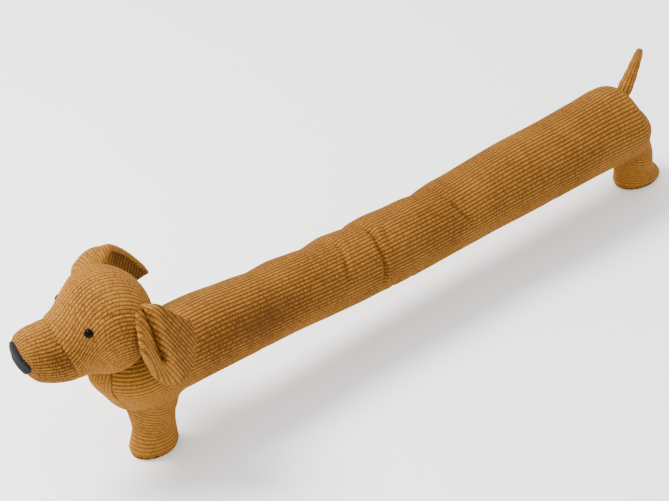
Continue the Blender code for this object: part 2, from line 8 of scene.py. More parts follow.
import bmesh
import bpy
import numpy as np
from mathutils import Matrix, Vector


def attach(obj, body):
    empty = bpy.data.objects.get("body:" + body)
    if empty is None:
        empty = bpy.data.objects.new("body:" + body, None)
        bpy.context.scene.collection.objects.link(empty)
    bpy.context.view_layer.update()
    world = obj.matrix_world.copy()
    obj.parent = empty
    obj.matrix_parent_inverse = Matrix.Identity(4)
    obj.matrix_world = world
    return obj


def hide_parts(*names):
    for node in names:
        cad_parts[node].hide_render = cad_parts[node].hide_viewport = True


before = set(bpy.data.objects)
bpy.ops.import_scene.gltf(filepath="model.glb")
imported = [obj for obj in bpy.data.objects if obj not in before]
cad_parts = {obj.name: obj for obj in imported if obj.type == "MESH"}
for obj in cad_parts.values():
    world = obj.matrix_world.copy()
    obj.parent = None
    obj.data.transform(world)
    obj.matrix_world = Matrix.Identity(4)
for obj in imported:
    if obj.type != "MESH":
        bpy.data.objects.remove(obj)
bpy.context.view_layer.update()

MM = 0.001
ORIGIN = np.array([0.05425, 0.00583, 0.0])

# Camera, at the photograph's viewing angle: degrees, metres and millimetres of lens
CAMERA_TURN = -44.35
CAMERA_HEIGHT = 33.0
CAMERA_DISTANCE = 3.3201
CAMERA_LENS = 171.83
CAMERA_TARGET = Vector((-0.05425, -0.00583, 0.12134))
SENSOR_WIDTH = 36.0
PHOTO_SIZE = (669, 501)

# Lights: way to the camera's right, up and back, distance, size, power, colour
LIGHTS = (
    ("key", -0.75, 0.75, 0.62, 2.2, 0.9, 120.0, (1.0, 0.985, 0.96)),
    ("fill", 0.9, 0.5, 0.3, 2.6, 1.8, 8.0, (1.0, 1.0, 1.0)),
)
WORLD_STRENGTH = 1.7
FLOOR_SIZE = 12.0

# Corduroy: its lit ridges, and the painted shade of its valleys on the head, the ears and the body
RIDGE_COLOUR = (0.28, 0.120, 0.019)
HEAD_VALLEY_SHADE = (0.060, 0.021, 0.0035)
EAR_VALLEY_SHADE = (0.075, 0.027, 0.0045)
BODY_VALLEY_SHADE = (0.082, 0.030, 0.0050)

# Tone painted on the corduroy, 0 dark, 1 light: painted shade on the body's side, the near ear's
# flap and the ears' linings; painted light on the legs, the gusset, the near ear's lobe and the far
# ear's outer side;
# the head's tone, and the muzzle's a little darker
BODY_SIDE_SHADE = 0.34
LEG_LIGHT = 0.66
HEAD_NAP = 0.50
MUZZLE_NAP = 0.42
GUSSET_LIGHT = 0.66
FLAP_SHADE = 0.20
LOBE_LIGHT = 0.56
LINING_SHADE = 0.22

# Cloth
WALE_PITCH = 0.00405
WALE_HEIGHT = 0.00062
WALE_ROUNDNESS = 2.6
POINTS_PER_WALE = 6
NOISE_WAVES = 6
WELD = 2e-6
SEAM_DEPTH = 0.0006
SEAM_WIDTH = 0.0014

# Body
BODY_WALES = 31
FRONT_LEG_WALES = 14
REAR_LEG_WALES = 11
CHEST_STEPS = 34
FRONT_STEPS = 44
TUBE_STEPS = 250
REAR_STEPS = 50
SIDE_ANGLE = math.radians(100)
RUMP_X = 0.4383
REAR_TAB_X = 0.425
REAR_REACH_START = 0.372
FOOT_Z = 0.0023

# Body sections: x, height of the centre line, radius
BODY_SECTIONS = (
    (-286, 109.0, 40.6),
    (-235, 108.8, 41.6),
    (-187, 107.3, 41.8),
    (-143, 103.4, 40.0),
    (-98, 100.0, 38.6),
    (-30, 94.6, 38.3),
    (40, 92.0, 39.0),
    (112, 89.6, 39.1),
    (162, 89.0, 38.3),
    (211, 91.2, 39.8),
    (262, 92.2, 41.6),
    (340, 92.0, 42.0),
    (393, 92.6, 42.9),
    (438, 91.0, 43.6),
)

# Leg hoops, from the crotch to the sole: share of the height, centre x, half length, half width
FRONT_LEG = (
    (0.00, -257.4, 28.4, 25.5),
    (0.15, -257.6, 26.4, 22.6),
    (0.32, -256.4, 25.0, 20.2),
    (0.55, -254.8, 24.2, 18.0),
    (0.80, -255.4, 26.8, 19.0),
    (0.95, -255.6, 27.6, 19.8),
    (1.00, -255.6, 26.2, 18.6),
)
REAR_LEG = (
    (0.00, 471.0, 28.0, 24.0),
    (0.30, 475.4, 26.8, 21.0),
    (0.50, 478.6, 26.8, 19.2),
    (0.80, 483.6, 30.2, 21.0),
    (0.95, 484.6, 31.0, 21.8),
    (1.00, 484.6, 29.6, 20.6),
)
RUMP_REACH = 0.42
RUMP_SLOPE = (math.radians(40), math.radians(105))
CHEST_TUCK = 0.30
CHEST_SLOPE = (math.radians(80), math.radians(130))
LEG_PULL = 1.15
LEG_STAND = 1.1
EASE_COLUMNS = 10
EASE_PASSES = 120
CHEST_X = (FRONT_LEG[0][1] - FRONT_LEG[0][2]) * MM
REAR_LEG_REACH = (REAR_LEG[0][1] - REAR_LEG[0][2]) * MM - REAR_TAB_X
FRONT_HOOP_DROP = (0.010, 0.001)
REAR_HOOP_DROP = (0.006, 0.013)

# Creases of the near side and over the spine, each a run of points (x, then the angle from the
# spine towards the near side), and its depth and width
CREASES = (
    (((43, 18), (41, 30), (38.5, 48), (38, 73), (36, 98)), 5.4, 3.4),
    (((-2, 12), (-5, 28), (-12, 53), (-14, 66)), 3.2, 3.6),
    (((-12, 2), (-13, 18), (-15, 30)), 2.0, 4.5),
    (((156, 38), (160, 55), (168, 77)), 3.3, 3.6),
    (((150, -10), (153, 10), (156, 38)), 1.8, 5.0),
    (((216, 40), (221, 55), (224, 66)), 1.8, 4.5),
    (((58, 100), (60, 120), (60, 140)), 2.4, 3.6),
    (((88, 98), (88, 116), (86, 140)), 1.9, 3.8),
    (((62, 14), (58, 26), (56, 40)), 2.0, 4.5),
    (((96, -20), (97, 0), (99, 20)), 1.8, 5.0),
    (((34, -60), (38, -30), (42, 12)), 2.2, 5.0),
    (((-6, -30), (-4, -8), (-2, 12)), 1.8, 5.0),
    (((-130, 70), (-128, 100), (-126, 130)), 1.3, 7.0),
    (((300, 60), (303, 95), (306, 130)), 1.2, 7.0),
)

# How far a crease fades out past its ends, in degrees, and the swelling on either side of it
CREASE_FADE = 14.0
SWELL_HEIGHT = 0.30
SWELL_WIDTH = 2.6

# Uneven stuffing: x, angle from the spine (minus on the far side), height, half length, half angle
LUMPS = (
    (-150, 60, 0.8, 45, 40),
    (-60, 110, -0.7, 30, 45),
    (15, 40, 0.7, 16, 35),
    (15, 110, 0.6, 18, 40),
    (75, 60, 0.8, 22, 40),
    (130, 50, -0.6, 25, 45),
    (190, 95, 0.7, 25, 45),
    (270, 50, 0.7, 40, 40),
    (370, 70, 0.6, 35, 45),
    (-60, -70, 0.8, 40, 40),
    (60, -90, -0.8, 30, 45),
    (180, -60, 0.8, 40, 40),
    (300, -90, 0.7, 45, 40),
    (-106, -50, -1.3, 12, 35),
    (-70, -50, 1.5, 16, 40),
    (-27, -50, -1.3, 9, 35),
    (2, -50, 1.8, 14, 40),
    (32, -50, -1.4, 9, 35),
    (66, -50, 1.8, 20, 40),
    (136, -50, -1.6, 11, 35),
    (168, -50, 1.5, 16, 40),
    (428, 0, 3.0, 20, 60),
)

# How the body's cloth turns under the gusset: reach, start, length and depth
GUSSET_REACH = 0.035
UNDER_START, UNDER_LENGTH, UNDER_DEPTH = 0.0012, 0.0018, 0.0016

# Belly seam: where the cloth starts to draw in, over what angle, and how deep
BELLY_SEAM = (math.radians(174), math.radians(6))
BELLY_DEPTH = 0.0008
SOLE_TUCK = 0.0010

# Body's painted tone: random unevenness, a painted shadow behind the near ear, painted bounce light
# on the lower flank, painted shade in the creases, and where the tube's painted shade fades to the
# legs' painted light at the chest and the rump
BODY_NAP_DRIFT = (0.06, 0.12, 31)
EAR_SHADOW, EAR_SHADOW_X, EAR_SHADOW_LENGTH, EAR_SHADOW_ANGLE, EAR_SHADOW_SPREAD = 0.45, -0.15, 0.085, 68, 32
BOUNCE_LIGHT, BOUNCE_LIGHT_ANGLE, BOUNCE_LIGHT_SPREAD = 0.10, 122, 24
CREASE_SHADE = 0.09
SHADE_TO_LIGHT_FADES = ((0.25, 0.05), (0.47, 0.09))

# Soles
SOLE_AROUND = 120
SOLE_RINGS = 26
SOLE_HALF = 0.0014
SOLE_ROUNDING = 0.06
SOLE_OVERLAP = 1.01

# Head: the ball's centre, its turn to the dog's right and its nod
HEAD_CENTRE = np.array([-0.3157, 0.0, 0.1853])
HEAD_TURN = math.radians(18)
HEAD_NOD = math.radians(5)
BALL_RADIUS = 0.0535
HEAD_AROUND = 440
HEAD_ROWS = 120
MUZZLE_WALES = 50
MUZZLE_ROWS = 70

# Head sections, back to front: distance ahead of the ball's centre, half width, half height,
# lift, and how far the top leads the bottom
HEAD_SECTIONS = (
    (-49.5, 0.0, 0.0, 0.0, 0.0),
    (-47.2, 15.5, 15.8, 0.0, 0.0),
    (-40.6, 29.5, 30.2, 0.0, 0.0),
    (-30.0, 41.5, 42.3, 0.0, 0.0),
    (-16.0, 50.0, 50.8, 0.0, 0.0),
    (0.0, 53.0, 53.5, 0.0, 0.0),
    (14.0, 48.6, 51.2, -1.2, 2.0),
    (26.0, 39.0, 45.0, -5.5, 5.0),
    (36.0, 32.4, 38.5, -12.2, 8.0),
    (46.0, 30.6, 34.5, -17.0, 10.0),
)
MUZZLE_SECTIONS = (
    (46.0, 30.6, 34.5, -17.0, 10.0),
    (58.0, 29.5, 33.3, -17.3, 9.0),
    (70.0, 27.5, 31.0, -16.0, 7.0),
    (82.0, 22.5, 25.6, -14.2, 5.0),
    (89.5, 13.0, 15.0, -11.8, 3.0),
    (92.5, 0.0, 0.0, -10.5, 0.0),
)

# Dart from each ear's root towards the eye: distance ahead, angle from the crown
DART = ((-30.0, 60.0), (-14.0, 57.0), (4.0, 54.0), (17.0, 52.0))
DART_DEPTH = 0.0011
DART_WIDTH = 0.0016
DART_RADIUS = 0.050
DART_FADE = (6, 5, 8)

# Unevenness of the filling and of the nap: height, scale, seed
HEAD_LUMPS = (0.0006, 0.055, 4)
HEAD_NAP_DRIFT = (0.07, 0.05, 5)
MUZZLE_LUMPS = (0.0005, 0.04, 9)
MUZZLE_NAP_DRIFT = (0.06, 0.03, 6)
FELT_LUMPS = (0.00035, 0.012, 21)

# Half width, in millimetres, below which the ridges fade towards the poles
HEAD_POLE = 12.0
MUZZLE_POLE = 22.0

# Painted shade on the muzzle's side beside its seam: depth, angle, spread, then how far it runs and
# fades
MUZZLE_SHADE, MUZZLE_SHADE_ANGLE, MUZZLE_SHADE_SPREAD = 0.17, 70, 42
MUZZLE_SHADE_LENGTH, MUZZLE_SHADE_FADE = 0.022, 0.014

# Felt nose: angle from the top on either side, how far along the muzzle its edge lies
NOSE_EDGE = (
    (0, 0.705),
    (30, 0.720),
    (62, 0.705),
    (80, 0.640),
    (95, 0.655),
    (112, 0.715),
    (135, 0.757),
    (180, 0.763),
)
NOSE_AROUND = 96
NOSE_STEPS = 28
NOSE_FINE_STEPS = 600
FELT_THICKNESS = 0.0017
FELT_LIFT = 0.0004
FELT_TUCK = 0.0016
FELT_EDGE = 0.12

# Eyes: distance ahead of the ball's centre, angle from the crown to the dog's left
LEFT_EYE = (24.5, 63)
RIGHT_EYE = (26.5, -63)
EYE_RADIUS = 0.0047
EYE_DOME = 0.0036
EYE_LIFT = 0.0006
EYE_UNDERSIDE = 0.35 * math.pi
EYE_ROWS = 28
EYE_AROUND = 48
HEAD_FINE_STEPS = 181

# Near ear spokes: root angle, tip x, y, z, bow outwards, bow forwards, bow upwards
LEFT_EAR_SPOKES = (
    (222, -311, -63, 157, 4, 8, 0),
    (208, -304, -66, 142, 7, 7, 0),
    (196, -296, -66, 132, 6, 4, 0),
    (184, -288, -64, 126, 5, 3, 0),
    (170, -278, -62, 120, 6, 4, 0),
    (150, -266, -60, 118, 9, 5, 0),
    (128, -255, -58, 121, 8, 4, 0),
    (106, -247, -56, 134, 7, 2, 0),
    (84, -243, -54, 152, 5, 0, 0),
    (58, -244, -52, 168, 3, -1, -2),
    (32, -248, -52, 178, 1, 0, -4),
)
LEFT_EAR_ROOT = (-299, -44.5, 209.5)

# Folds of the near ear as seen: a run of points across the photograph, then height and width
LEFT_EAR_FOLDS = (
    (((141, 300), (144.5, 311), (148, 322), (152, 334), (157, 348), (161, 358), (172, 392)),
     -8.0, 3.4),
    (((139, 318), (139, 328), (142, 342), (148, 358), (155, 370), (164, 380)), 6.0, 4.6),
    (((151, 311), (157, 325), (163, 340), (169, 352)), 4.0, 5.0),
)

# Far ear spokes, with the same columns
RIGHT_EAR_SPOKES = (
    (222, -283, 66, 160, 11, 6, 3),
    (208, -279, 72, 148, 12, 6, 4),
    (190, -271, 76, 140, 13, 6, 5),
    (172, -260, 78, 134, 14, 6, 8),
    (150, -246, 78, 132, 14, 5, 10),
    (128, -231, 76, 136, 14, 3, 12),
    (106, -215, 73, 144, 13, 0, 12),
    (84, -203, 69, 150, 12, -5, 9),
    (58, -200, 64, 155, 11, -9, 8),
    (32, -208, 58, 163, 8, -9, 4),
)
RIGHT_EAR_ROOT = (-287, 43, 214)
EAR_ROOT_RADIUS = 0.0115
EAR_ROOT_FLATTEN = 0.8
EAR_THICKNESS = 0.0040
EAR_EDGE_THICKNESS = 0.0022
EAR_PITCH = 0.0035
FOLD_END = (-0.2919, 0.1565)

# Where painted shade begins on the far ear's lining, in pixels across the camera's view, and over
# how many it fades in
FAR_EAR_SHADE_START = 109.0
FAR_EAR_SHADE_FADE = 4
FAR_ARCH = 0.6
EAR_SINK = 0.0024
EAR_LEAN = (math.radians(33), math.radians(18))
EAR_STEPS = 110
EAR_ACROSS = 150

# Ear's edge: the cloth's reach across and down, how wide it rounds and thins, and the stitched
# line's depth, place and width
EAR_SPAN = (0.20, 0.085)
EAR_ROUNDING = 0.0035
EAR_THINNING = 0.012
EAR_STITCH = (0.0004, 0.0050, 0.0012)
EAR_ROOT_SHARE = 0.22
WALE_START = (400.0, 400.3)

# Tail centre line: x, z, radius
TAIL_LINE = (
    (450.6, 121.0, 8.2),
    (456.5, 133.0, 7.8),
    (463.5, 144.0, 6.8),
    (470.0, 156.0, 5.6),
    (475.5, 167.0, 4.4),
    (479.0, 173.5, 3.0),
)
TAIL_WALES = 12
TAIL_ROWS = 60

# Tail: where its tip rounds and how fully, the gathered root's depth, place and length, its
# waviness, and the radius below which the ridges fade
TAIL_TIP = (0.93, 0.07, 0.995)
TAIL_ROOT = (0.0016, 0.06, 0.05)
TAIL_WOBBLE = (0.0005, 34)
TAIL_POLE = 0.006

# Gusset: angle down the chest from straight up, half width
GUSSET_EDGE = (
    (58, 14.0),
    (75, 17.0),
    (90, 18.4),
    (110, 18.4),
    (128, 17.0),
    (148, 12.5),
    (162, 6.5),
)
GUSSET_WALES = 9
GUSSET_ROWS = 90
GUSSET_LENGTH = 0.075
GUSSET_ROUNDING = 0.0022
GUSSET_LIFT = 0.0015
GUSSET_SINK = 0.0011


def spline(at, knots, values):
    """Smooth curve through the knots, evaluated at each place in at."""
    knots = np.asarray(knots, float)
    values = np.asarray(values, float)
    at = np.clip(np.asarray(at, float), knots[0], knots[-1])
    slopes = np.gradient(values, knots)
    k = np.clip(np.searchsorted(knots, at, side="right") - 1, 0, len(knots) - 2)
    span = knots[k + 1] - knots[k]
    t = (at - knots[k]) / span
    return (
        values[k] * (1 + 2 * t) * (1 - t) ** 2
        + values[k + 1] * t * t * (3 - 2 * t)
        + span * t * (1 - t) * (slopes[k] * (1 - t) - slopes[k + 1] * t)
    )


def resample(table, steps):
    """Columns of a table on smooth curves, at even steps along its rows."""
    data = np.array(table, float)
    places = np.linspace(0, len(data) - 1, steps)
    return [spline(places, np.arange(len(data)), column) for column in data.T]


def smooth_step(t):
    """Eased step from 0 to 1."""
    t = np.clip(t, 0.0, 1.0)
    return t * t * (3 - 2 * t)


def wale_profile(wale):
    """Height of the cloth from 0 in a valley to 1 on the rounded ridge."""
    off = np.abs(2 * (wale - np.floor(wale)) - 1)
    return 1 - off ** WALE_ROUNDNESS


def rounded(t):
    """Quarter-round edge: 0 at the rim, 1 where the rounding ends."""
    return np.sqrt(1 - (1 - np.clip(t, 0, 1)) ** 2)


def turns(count):
    """Even angles once around a closed section."""
    return np.linspace(0, 2 * math.pi, count + 1)[:-1]


def noise_field(points, height, scale, seed):
    """Slow unevenness at each point, up to the height either way."""
    random = np.random.default_rng(seed)
    total = 0.0
    for _ in range(NOISE_WAVES):
        direction = random.normal(size=3)
        direction *= random.uniform(0.6, 1.4) / (scale * np.linalg.norm(direction))
        total = total + np.sin(points @ direction * 2 * math.pi + random.uniform(0, 6.28))
    return height * (total / NOISE_WAVES)


def body_section(x):
    """Height of the centre line and radius of the tube at x."""
    data = np.array(BODY_SECTIONS, float)
    return tuple(spline(x, data[:, 0] * MM, data[:, k]) * MM for k in (1, 2))


def cap_reach(turn, angle):
    """Share of the radius that an end reaches: the rump slopes and the chest tucks in below."""
    low, high = RUMP_SLOPE
    rump = RUMP_REACH + (1 - RUMP_REACH) * smooth_step((angle - low) / (high - low))
    low, high = CHEST_SLOPE
    chest = 1 - CHEST_TUCK * smooth_step((angle - low) / (high - low))
    return np.where(turn > math.pi / 2, rump, chest)


def tube_point(x, turn, angle):
    """Point on the capped tube: turn is 90 degrees along the side, 0 ahead and 180 behind."""
    centre, radius = body_section(x)
    reach = cap_reach(turn, angle)
    return np.stack([
        x - radius * np.sin(angle) * np.cos(turn) * reach,
        -radius * np.sin(angle) * np.sin(turn),
        centre + radius * np.cos(angle) + 0 * turn,
    ], axis=-1)


def hoop_top(leg, t):
    """Height at which a leg's hoops begin, at hoop angle t from the leg's front."""
    if leg == "front":
        ends = FRONT_LEG[0][1] * MM + FRONT_LEG[0][2] * MM * np.array([-1.0, 1.0])
        drops = FRONT_HOOP_DROP
    else:
        ends = np.array([REAR_TAB_X + REAR_LEG_REACH, RUMP_X])
        drops = REAR_HOOP_DROP
    centre, radius = body_section(ends)
    level = centre - radius
    share = smooth_step(t / math.pi)
    return level[0] + (level[1] - level[0]) * share - drops[0] * np.sin(t) - drops[1] * share


def hoop_point(leg, t, share):
    """Point on a leg: hoop angle t from its front, share of the way down to the sole."""
    data = np.array(FRONT_LEG if leg == "front" else REAR_LEG, float)
    centre, length, width = (spline(share, data[:, 0], data[:, k]) * MM for k in (1, 2, 3))
    top = hoop_top(leg, t)
    return np.stack([
        centre - length * np.cos(t),
        -width * np.sin(t) + 0 * top,
        top + (FOOT_Z - top) * share,
    ], axis=-1)


def body_columns():
    """Columns of the body's half, front to back: x, turn, hoop angle, leg or None."""
    front_x, front_a = FRONT_LEG[0][1] * MM, FRONT_LEG[0][2] * MM
    quarter = math.pi / 2
    columns = [(CHEST_X, quarter * k / CHEST_STEPS, None, None) for k in range(CHEST_STEPS)]
    for k in range(FRONT_STEPS):
        t = math.pi * k / FRONT_STEPS
        columns.append((front_x - front_a * math.cos(t), quarter, t, "front"))
    start = front_x + front_a
    step = (REAR_TAB_X - start) / TUBE_STEPS
    columns += [(start + step * k, quarter, None, None) for k in range(TUBE_STEPS)]
    tube_part = RUMP_X - REAR_TAB_X
    _, radius = body_section(RUMP_X)
    whole = tube_part + radius * quarter
    for k in range(REAR_STEPS + 1):
        along = whole * k / REAR_STEPS
        x = min(REAR_TAB_X + along, RUMP_X)
        turn = quarter + max(0.0, along - tube_part) / radius
        columns.append((x, turn, math.pi * k / REAR_STEPS, "rear"))
    return columns


def body_column(x, turn, t, leg, angles):
    """Points of one column of the body, from the spine to the belly."""
    upper = np.minimum(angles, SIDE_ANGLE)
    share = (angles - upper) / (math.pi - SIDE_ANGLE)
    if leg is None:
        before = (x - REAR_REACH_START) / (REAR_TAB_X - REAR_REACH_START)
        reach = REAR_LEG_REACH * smooth_step(before)
        points = tube_point(np.full_like(angles, x), turn, angles)
        points[:, 0] += reach * smooth_step(share)
        return points
    points = tube_point(np.full_like(angles, x), turn, upper)
    start = tube_point(np.array([x]), turn, np.array([SIDE_ANGLE]))[0]
    end = hoop_point(leg, np.array([t]), np.array([0.0]))[0]
    length = LEG_PULL * np.linalg.norm(end - start)
    near = SIDE_ANGLE + np.array([-0.01, 0.01])
    first = np.diff(tube_point(np.full(2, x), turn, near), axis=0)[0]
    first *= length / np.linalg.norm(first)
    stand = smooth_step(math.sin(t) * LEG_STAND) if leg == "front" or t < math.pi / 2 else 1.0
    last = np.array([0.0, 1.0 - stand, -stand])
    last *= length / np.linalg.norm(last)
    s = share[:, None]
    curve = (
        start * (1 + 2 * s) * (1 - s) ** 2
        + first * s * (1 - s) ** 2
        + end * s * s * (3 - 2 * s)
        - last * s * s * (1 - s)
    )
    return np.where(s > 0, curve, points)


def grid_normals(grid, middle, closed=False):
    """Unit normals of a grid of points, pointing away from the middle."""
    if closed:
        across = np.roll(grid, -1, axis=1) - np.roll(grid, 1, axis=1)
    else:
        across = np.gradient(grid, axis=1)
    normal = np.cross(np.gradient(grid, axis=0), across)
    normal /= np.maximum(np.linalg.norm(normal, axis=2, keepdims=True), 1e-12)
    away = np.sum(normal * (grid - np.asarray(middle)))
    return normal if away > 0 else -normal


class Skin:
    """Collects grids of points, with their place in the cloth, and makes one mesh of them."""

    def __init__(self):
        self.points = []
        self.cloth = []
        self.painted_tone = []
        self.faces = []
        self.count = 0

    def add(self, grid, along, wale, painted_tone=0.5, closed=False, flip=False):
        """Adds a grid of points with its cloth coordinates, its painted tone, which holds painted
        light and shade on some pieces, and its faces.
        """
        rows, columns = grid.shape[:2]
        numbers = self.count + np.arange(rows * columns).reshape(rows, columns)
        self.points.append(grid.reshape(-1, 3))
        cloth = np.stack([np.broadcast_to(along, (rows, columns)),
                          np.broadcast_to(wale, (rows, columns))], axis=-1)
        self.cloth.append(cloth.reshape(-1, 2))
        self.painted_tone.append(np.broadcast_to(painted_tone, (rows, columns)).reshape(-1))
        self.count += rows * columns
        if closed:
            numbers = np.concatenate([numbers, numbers[:, :1]], axis=1)
        quads = np.stack([numbers[:-1, :-1], numbers[1:, :-1], numbers[1:, 1:], numbers[:-1, 1:]],
                         axis=-1).reshape(-1, 4)
        self.faces.append(quads[:, ::-1] if flip else quads)

    def build(self, name, material, *nodes, welded=False):
        """Makes the mesh object, in the frame, for the named solids."""
        points = np.concatenate(self.points) - ORIGIN
        cloth = np.concatenate(self.cloth)
        faces = np.concatenate(self.faces)
        mesh = bpy.data.meshes.new(name)
        mesh.vertices.add(len(points))
        mesh.vertices.foreach_set("co", points.astype(np.float32).ravel())
        mesh.loops.add(faces.size)
        mesh.loops.foreach_set("vertex_index", faces.astype(np.int32).ravel())
        mesh.polygons.add(len(faces))
        mesh.polygons.foreach_set("loop_start", np.arange(0, faces.size, 4, dtype=np.int32))
        mesh.update(calc_edges=True)
        # The painted tone map holds painted light and shade as well as the cloth's own uneven tone
        painted_tone = np.concatenate(self.painted_tone)
        for layer, values in (("cloth", cloth), ("painted_tone", np.stack([painted_tone, 0 * painted_tone], axis=1))):
            uv = mesh.uv_layers.new(name=layer)
            uv.data.foreach_set("uv", values[faces.ravel()].astype(np.float32).ravel())
        mesh.validate()
        if welded:
            work = bmesh.new()
            work.from_mesh(mesh)
            bmesh.ops.remove_doubles(work, verts=work.verts, dist=WELD)
            work.to_mesh(mesh)
            work.free()
        mesh.shade_smooth()
        mesh.materials.append(material)
        item = bpy.data.objects.new(name, mesh)
        bpy.context.scene.collection.objects.link(item)
        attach(item, "root")
        if nodes:
            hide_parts(*nodes)
        return item


def dress(name, node, material, grid, along=0.0, wale=0.0, painted_tone=0.5, flip=True):
    """One piece made of a single grid that closes around."""
    skin = Skin()
    skin.add(grid, along, wale, painted_tone, closed=True, flip=flip)
    return skin.build(name, material, node)


def crease_depth(x, angle, side):
    """How far creases and uneven stuffing move the tube's surface, outwards positive."""
    depth = np.zeros_like(x)
    degrees = np.degrees(angle) * side
    for path, deep, width in CREASES:
        run = np.array(path, float)
        place = np.interp(degrees, run[:, 1], run[:, 0])
        fade = smooth_step((degrees - run[0, 1] + CREASE_FADE) / CREASE_FADE) * smooth_step(
            (run[-1, 1] + CREASE_FADE - degrees) / CREASE_FADE)
        away = (x / MM - place) / width
        depth -= deep * MM * fade * np.exp(-away * away)
        lift = (x / MM - place) / (SWELL_WIDTH * width)
        depth += SWELL_HEIGHT * deep * MM * fade * np.exp(-lift * lift)
    for at, about, height, length, spread in LUMPS:
        away = ((x / MM - at) / length) ** 2 + ((degrees - about) / spread) ** 2
        depth += height * MM * np.exp(-away)
    return depth


def gusset_half_turn(angle):
    """Turn at which the gusset's edge lies, at each angle down the chest."""
    data = np.array(GUSSET_EDGE, float)
    _, radius = body_section(CHEST_X)
    degrees = np.degrees(angle)
    half = spline(degrees, data[:, 0], data[:, 1]) * MM
    inside = (degrees > data[0, 0]) & (degrees < data[-1, 0])
    return np.where(inside, half / (radius * np.maximum(np.sin(angle), 0.1)), -1.0)


def ease_into_legs(grid, angles):
    """Evens out the flank beside each leg, so that no ledge is left there."""
    place = np.arange(len(grid))
    edges = (CHEST_STEPS, CHEST_STEPS + FRONT_STEPS, CHEST_STEPS + FRONT_STEPS + TUBE_STEPS)
    beside = sum(np.exp(-((place - edge) / EASE_COLUMNS) ** 2) for edge in edges).clip(0, 1)
    share = np.clip((angles - SIDE_ANGLE) / (math.pi - SIDE_ANGLE), 0, 1)
    free = np.sqrt(np.sin(math.pi * share).clip(0))
    weight = 0.5 * beside[1:-1, None, None] * free[None, :, None]
    for _ in range(EASE_PASSES):
        middle = (grid[:-2, :, 1:] + grid[2:, :, 1:]) / 2
        grid[1:-1, :, 1:] += weight * (middle - grid[1:-1, :, 1:])
    return grid


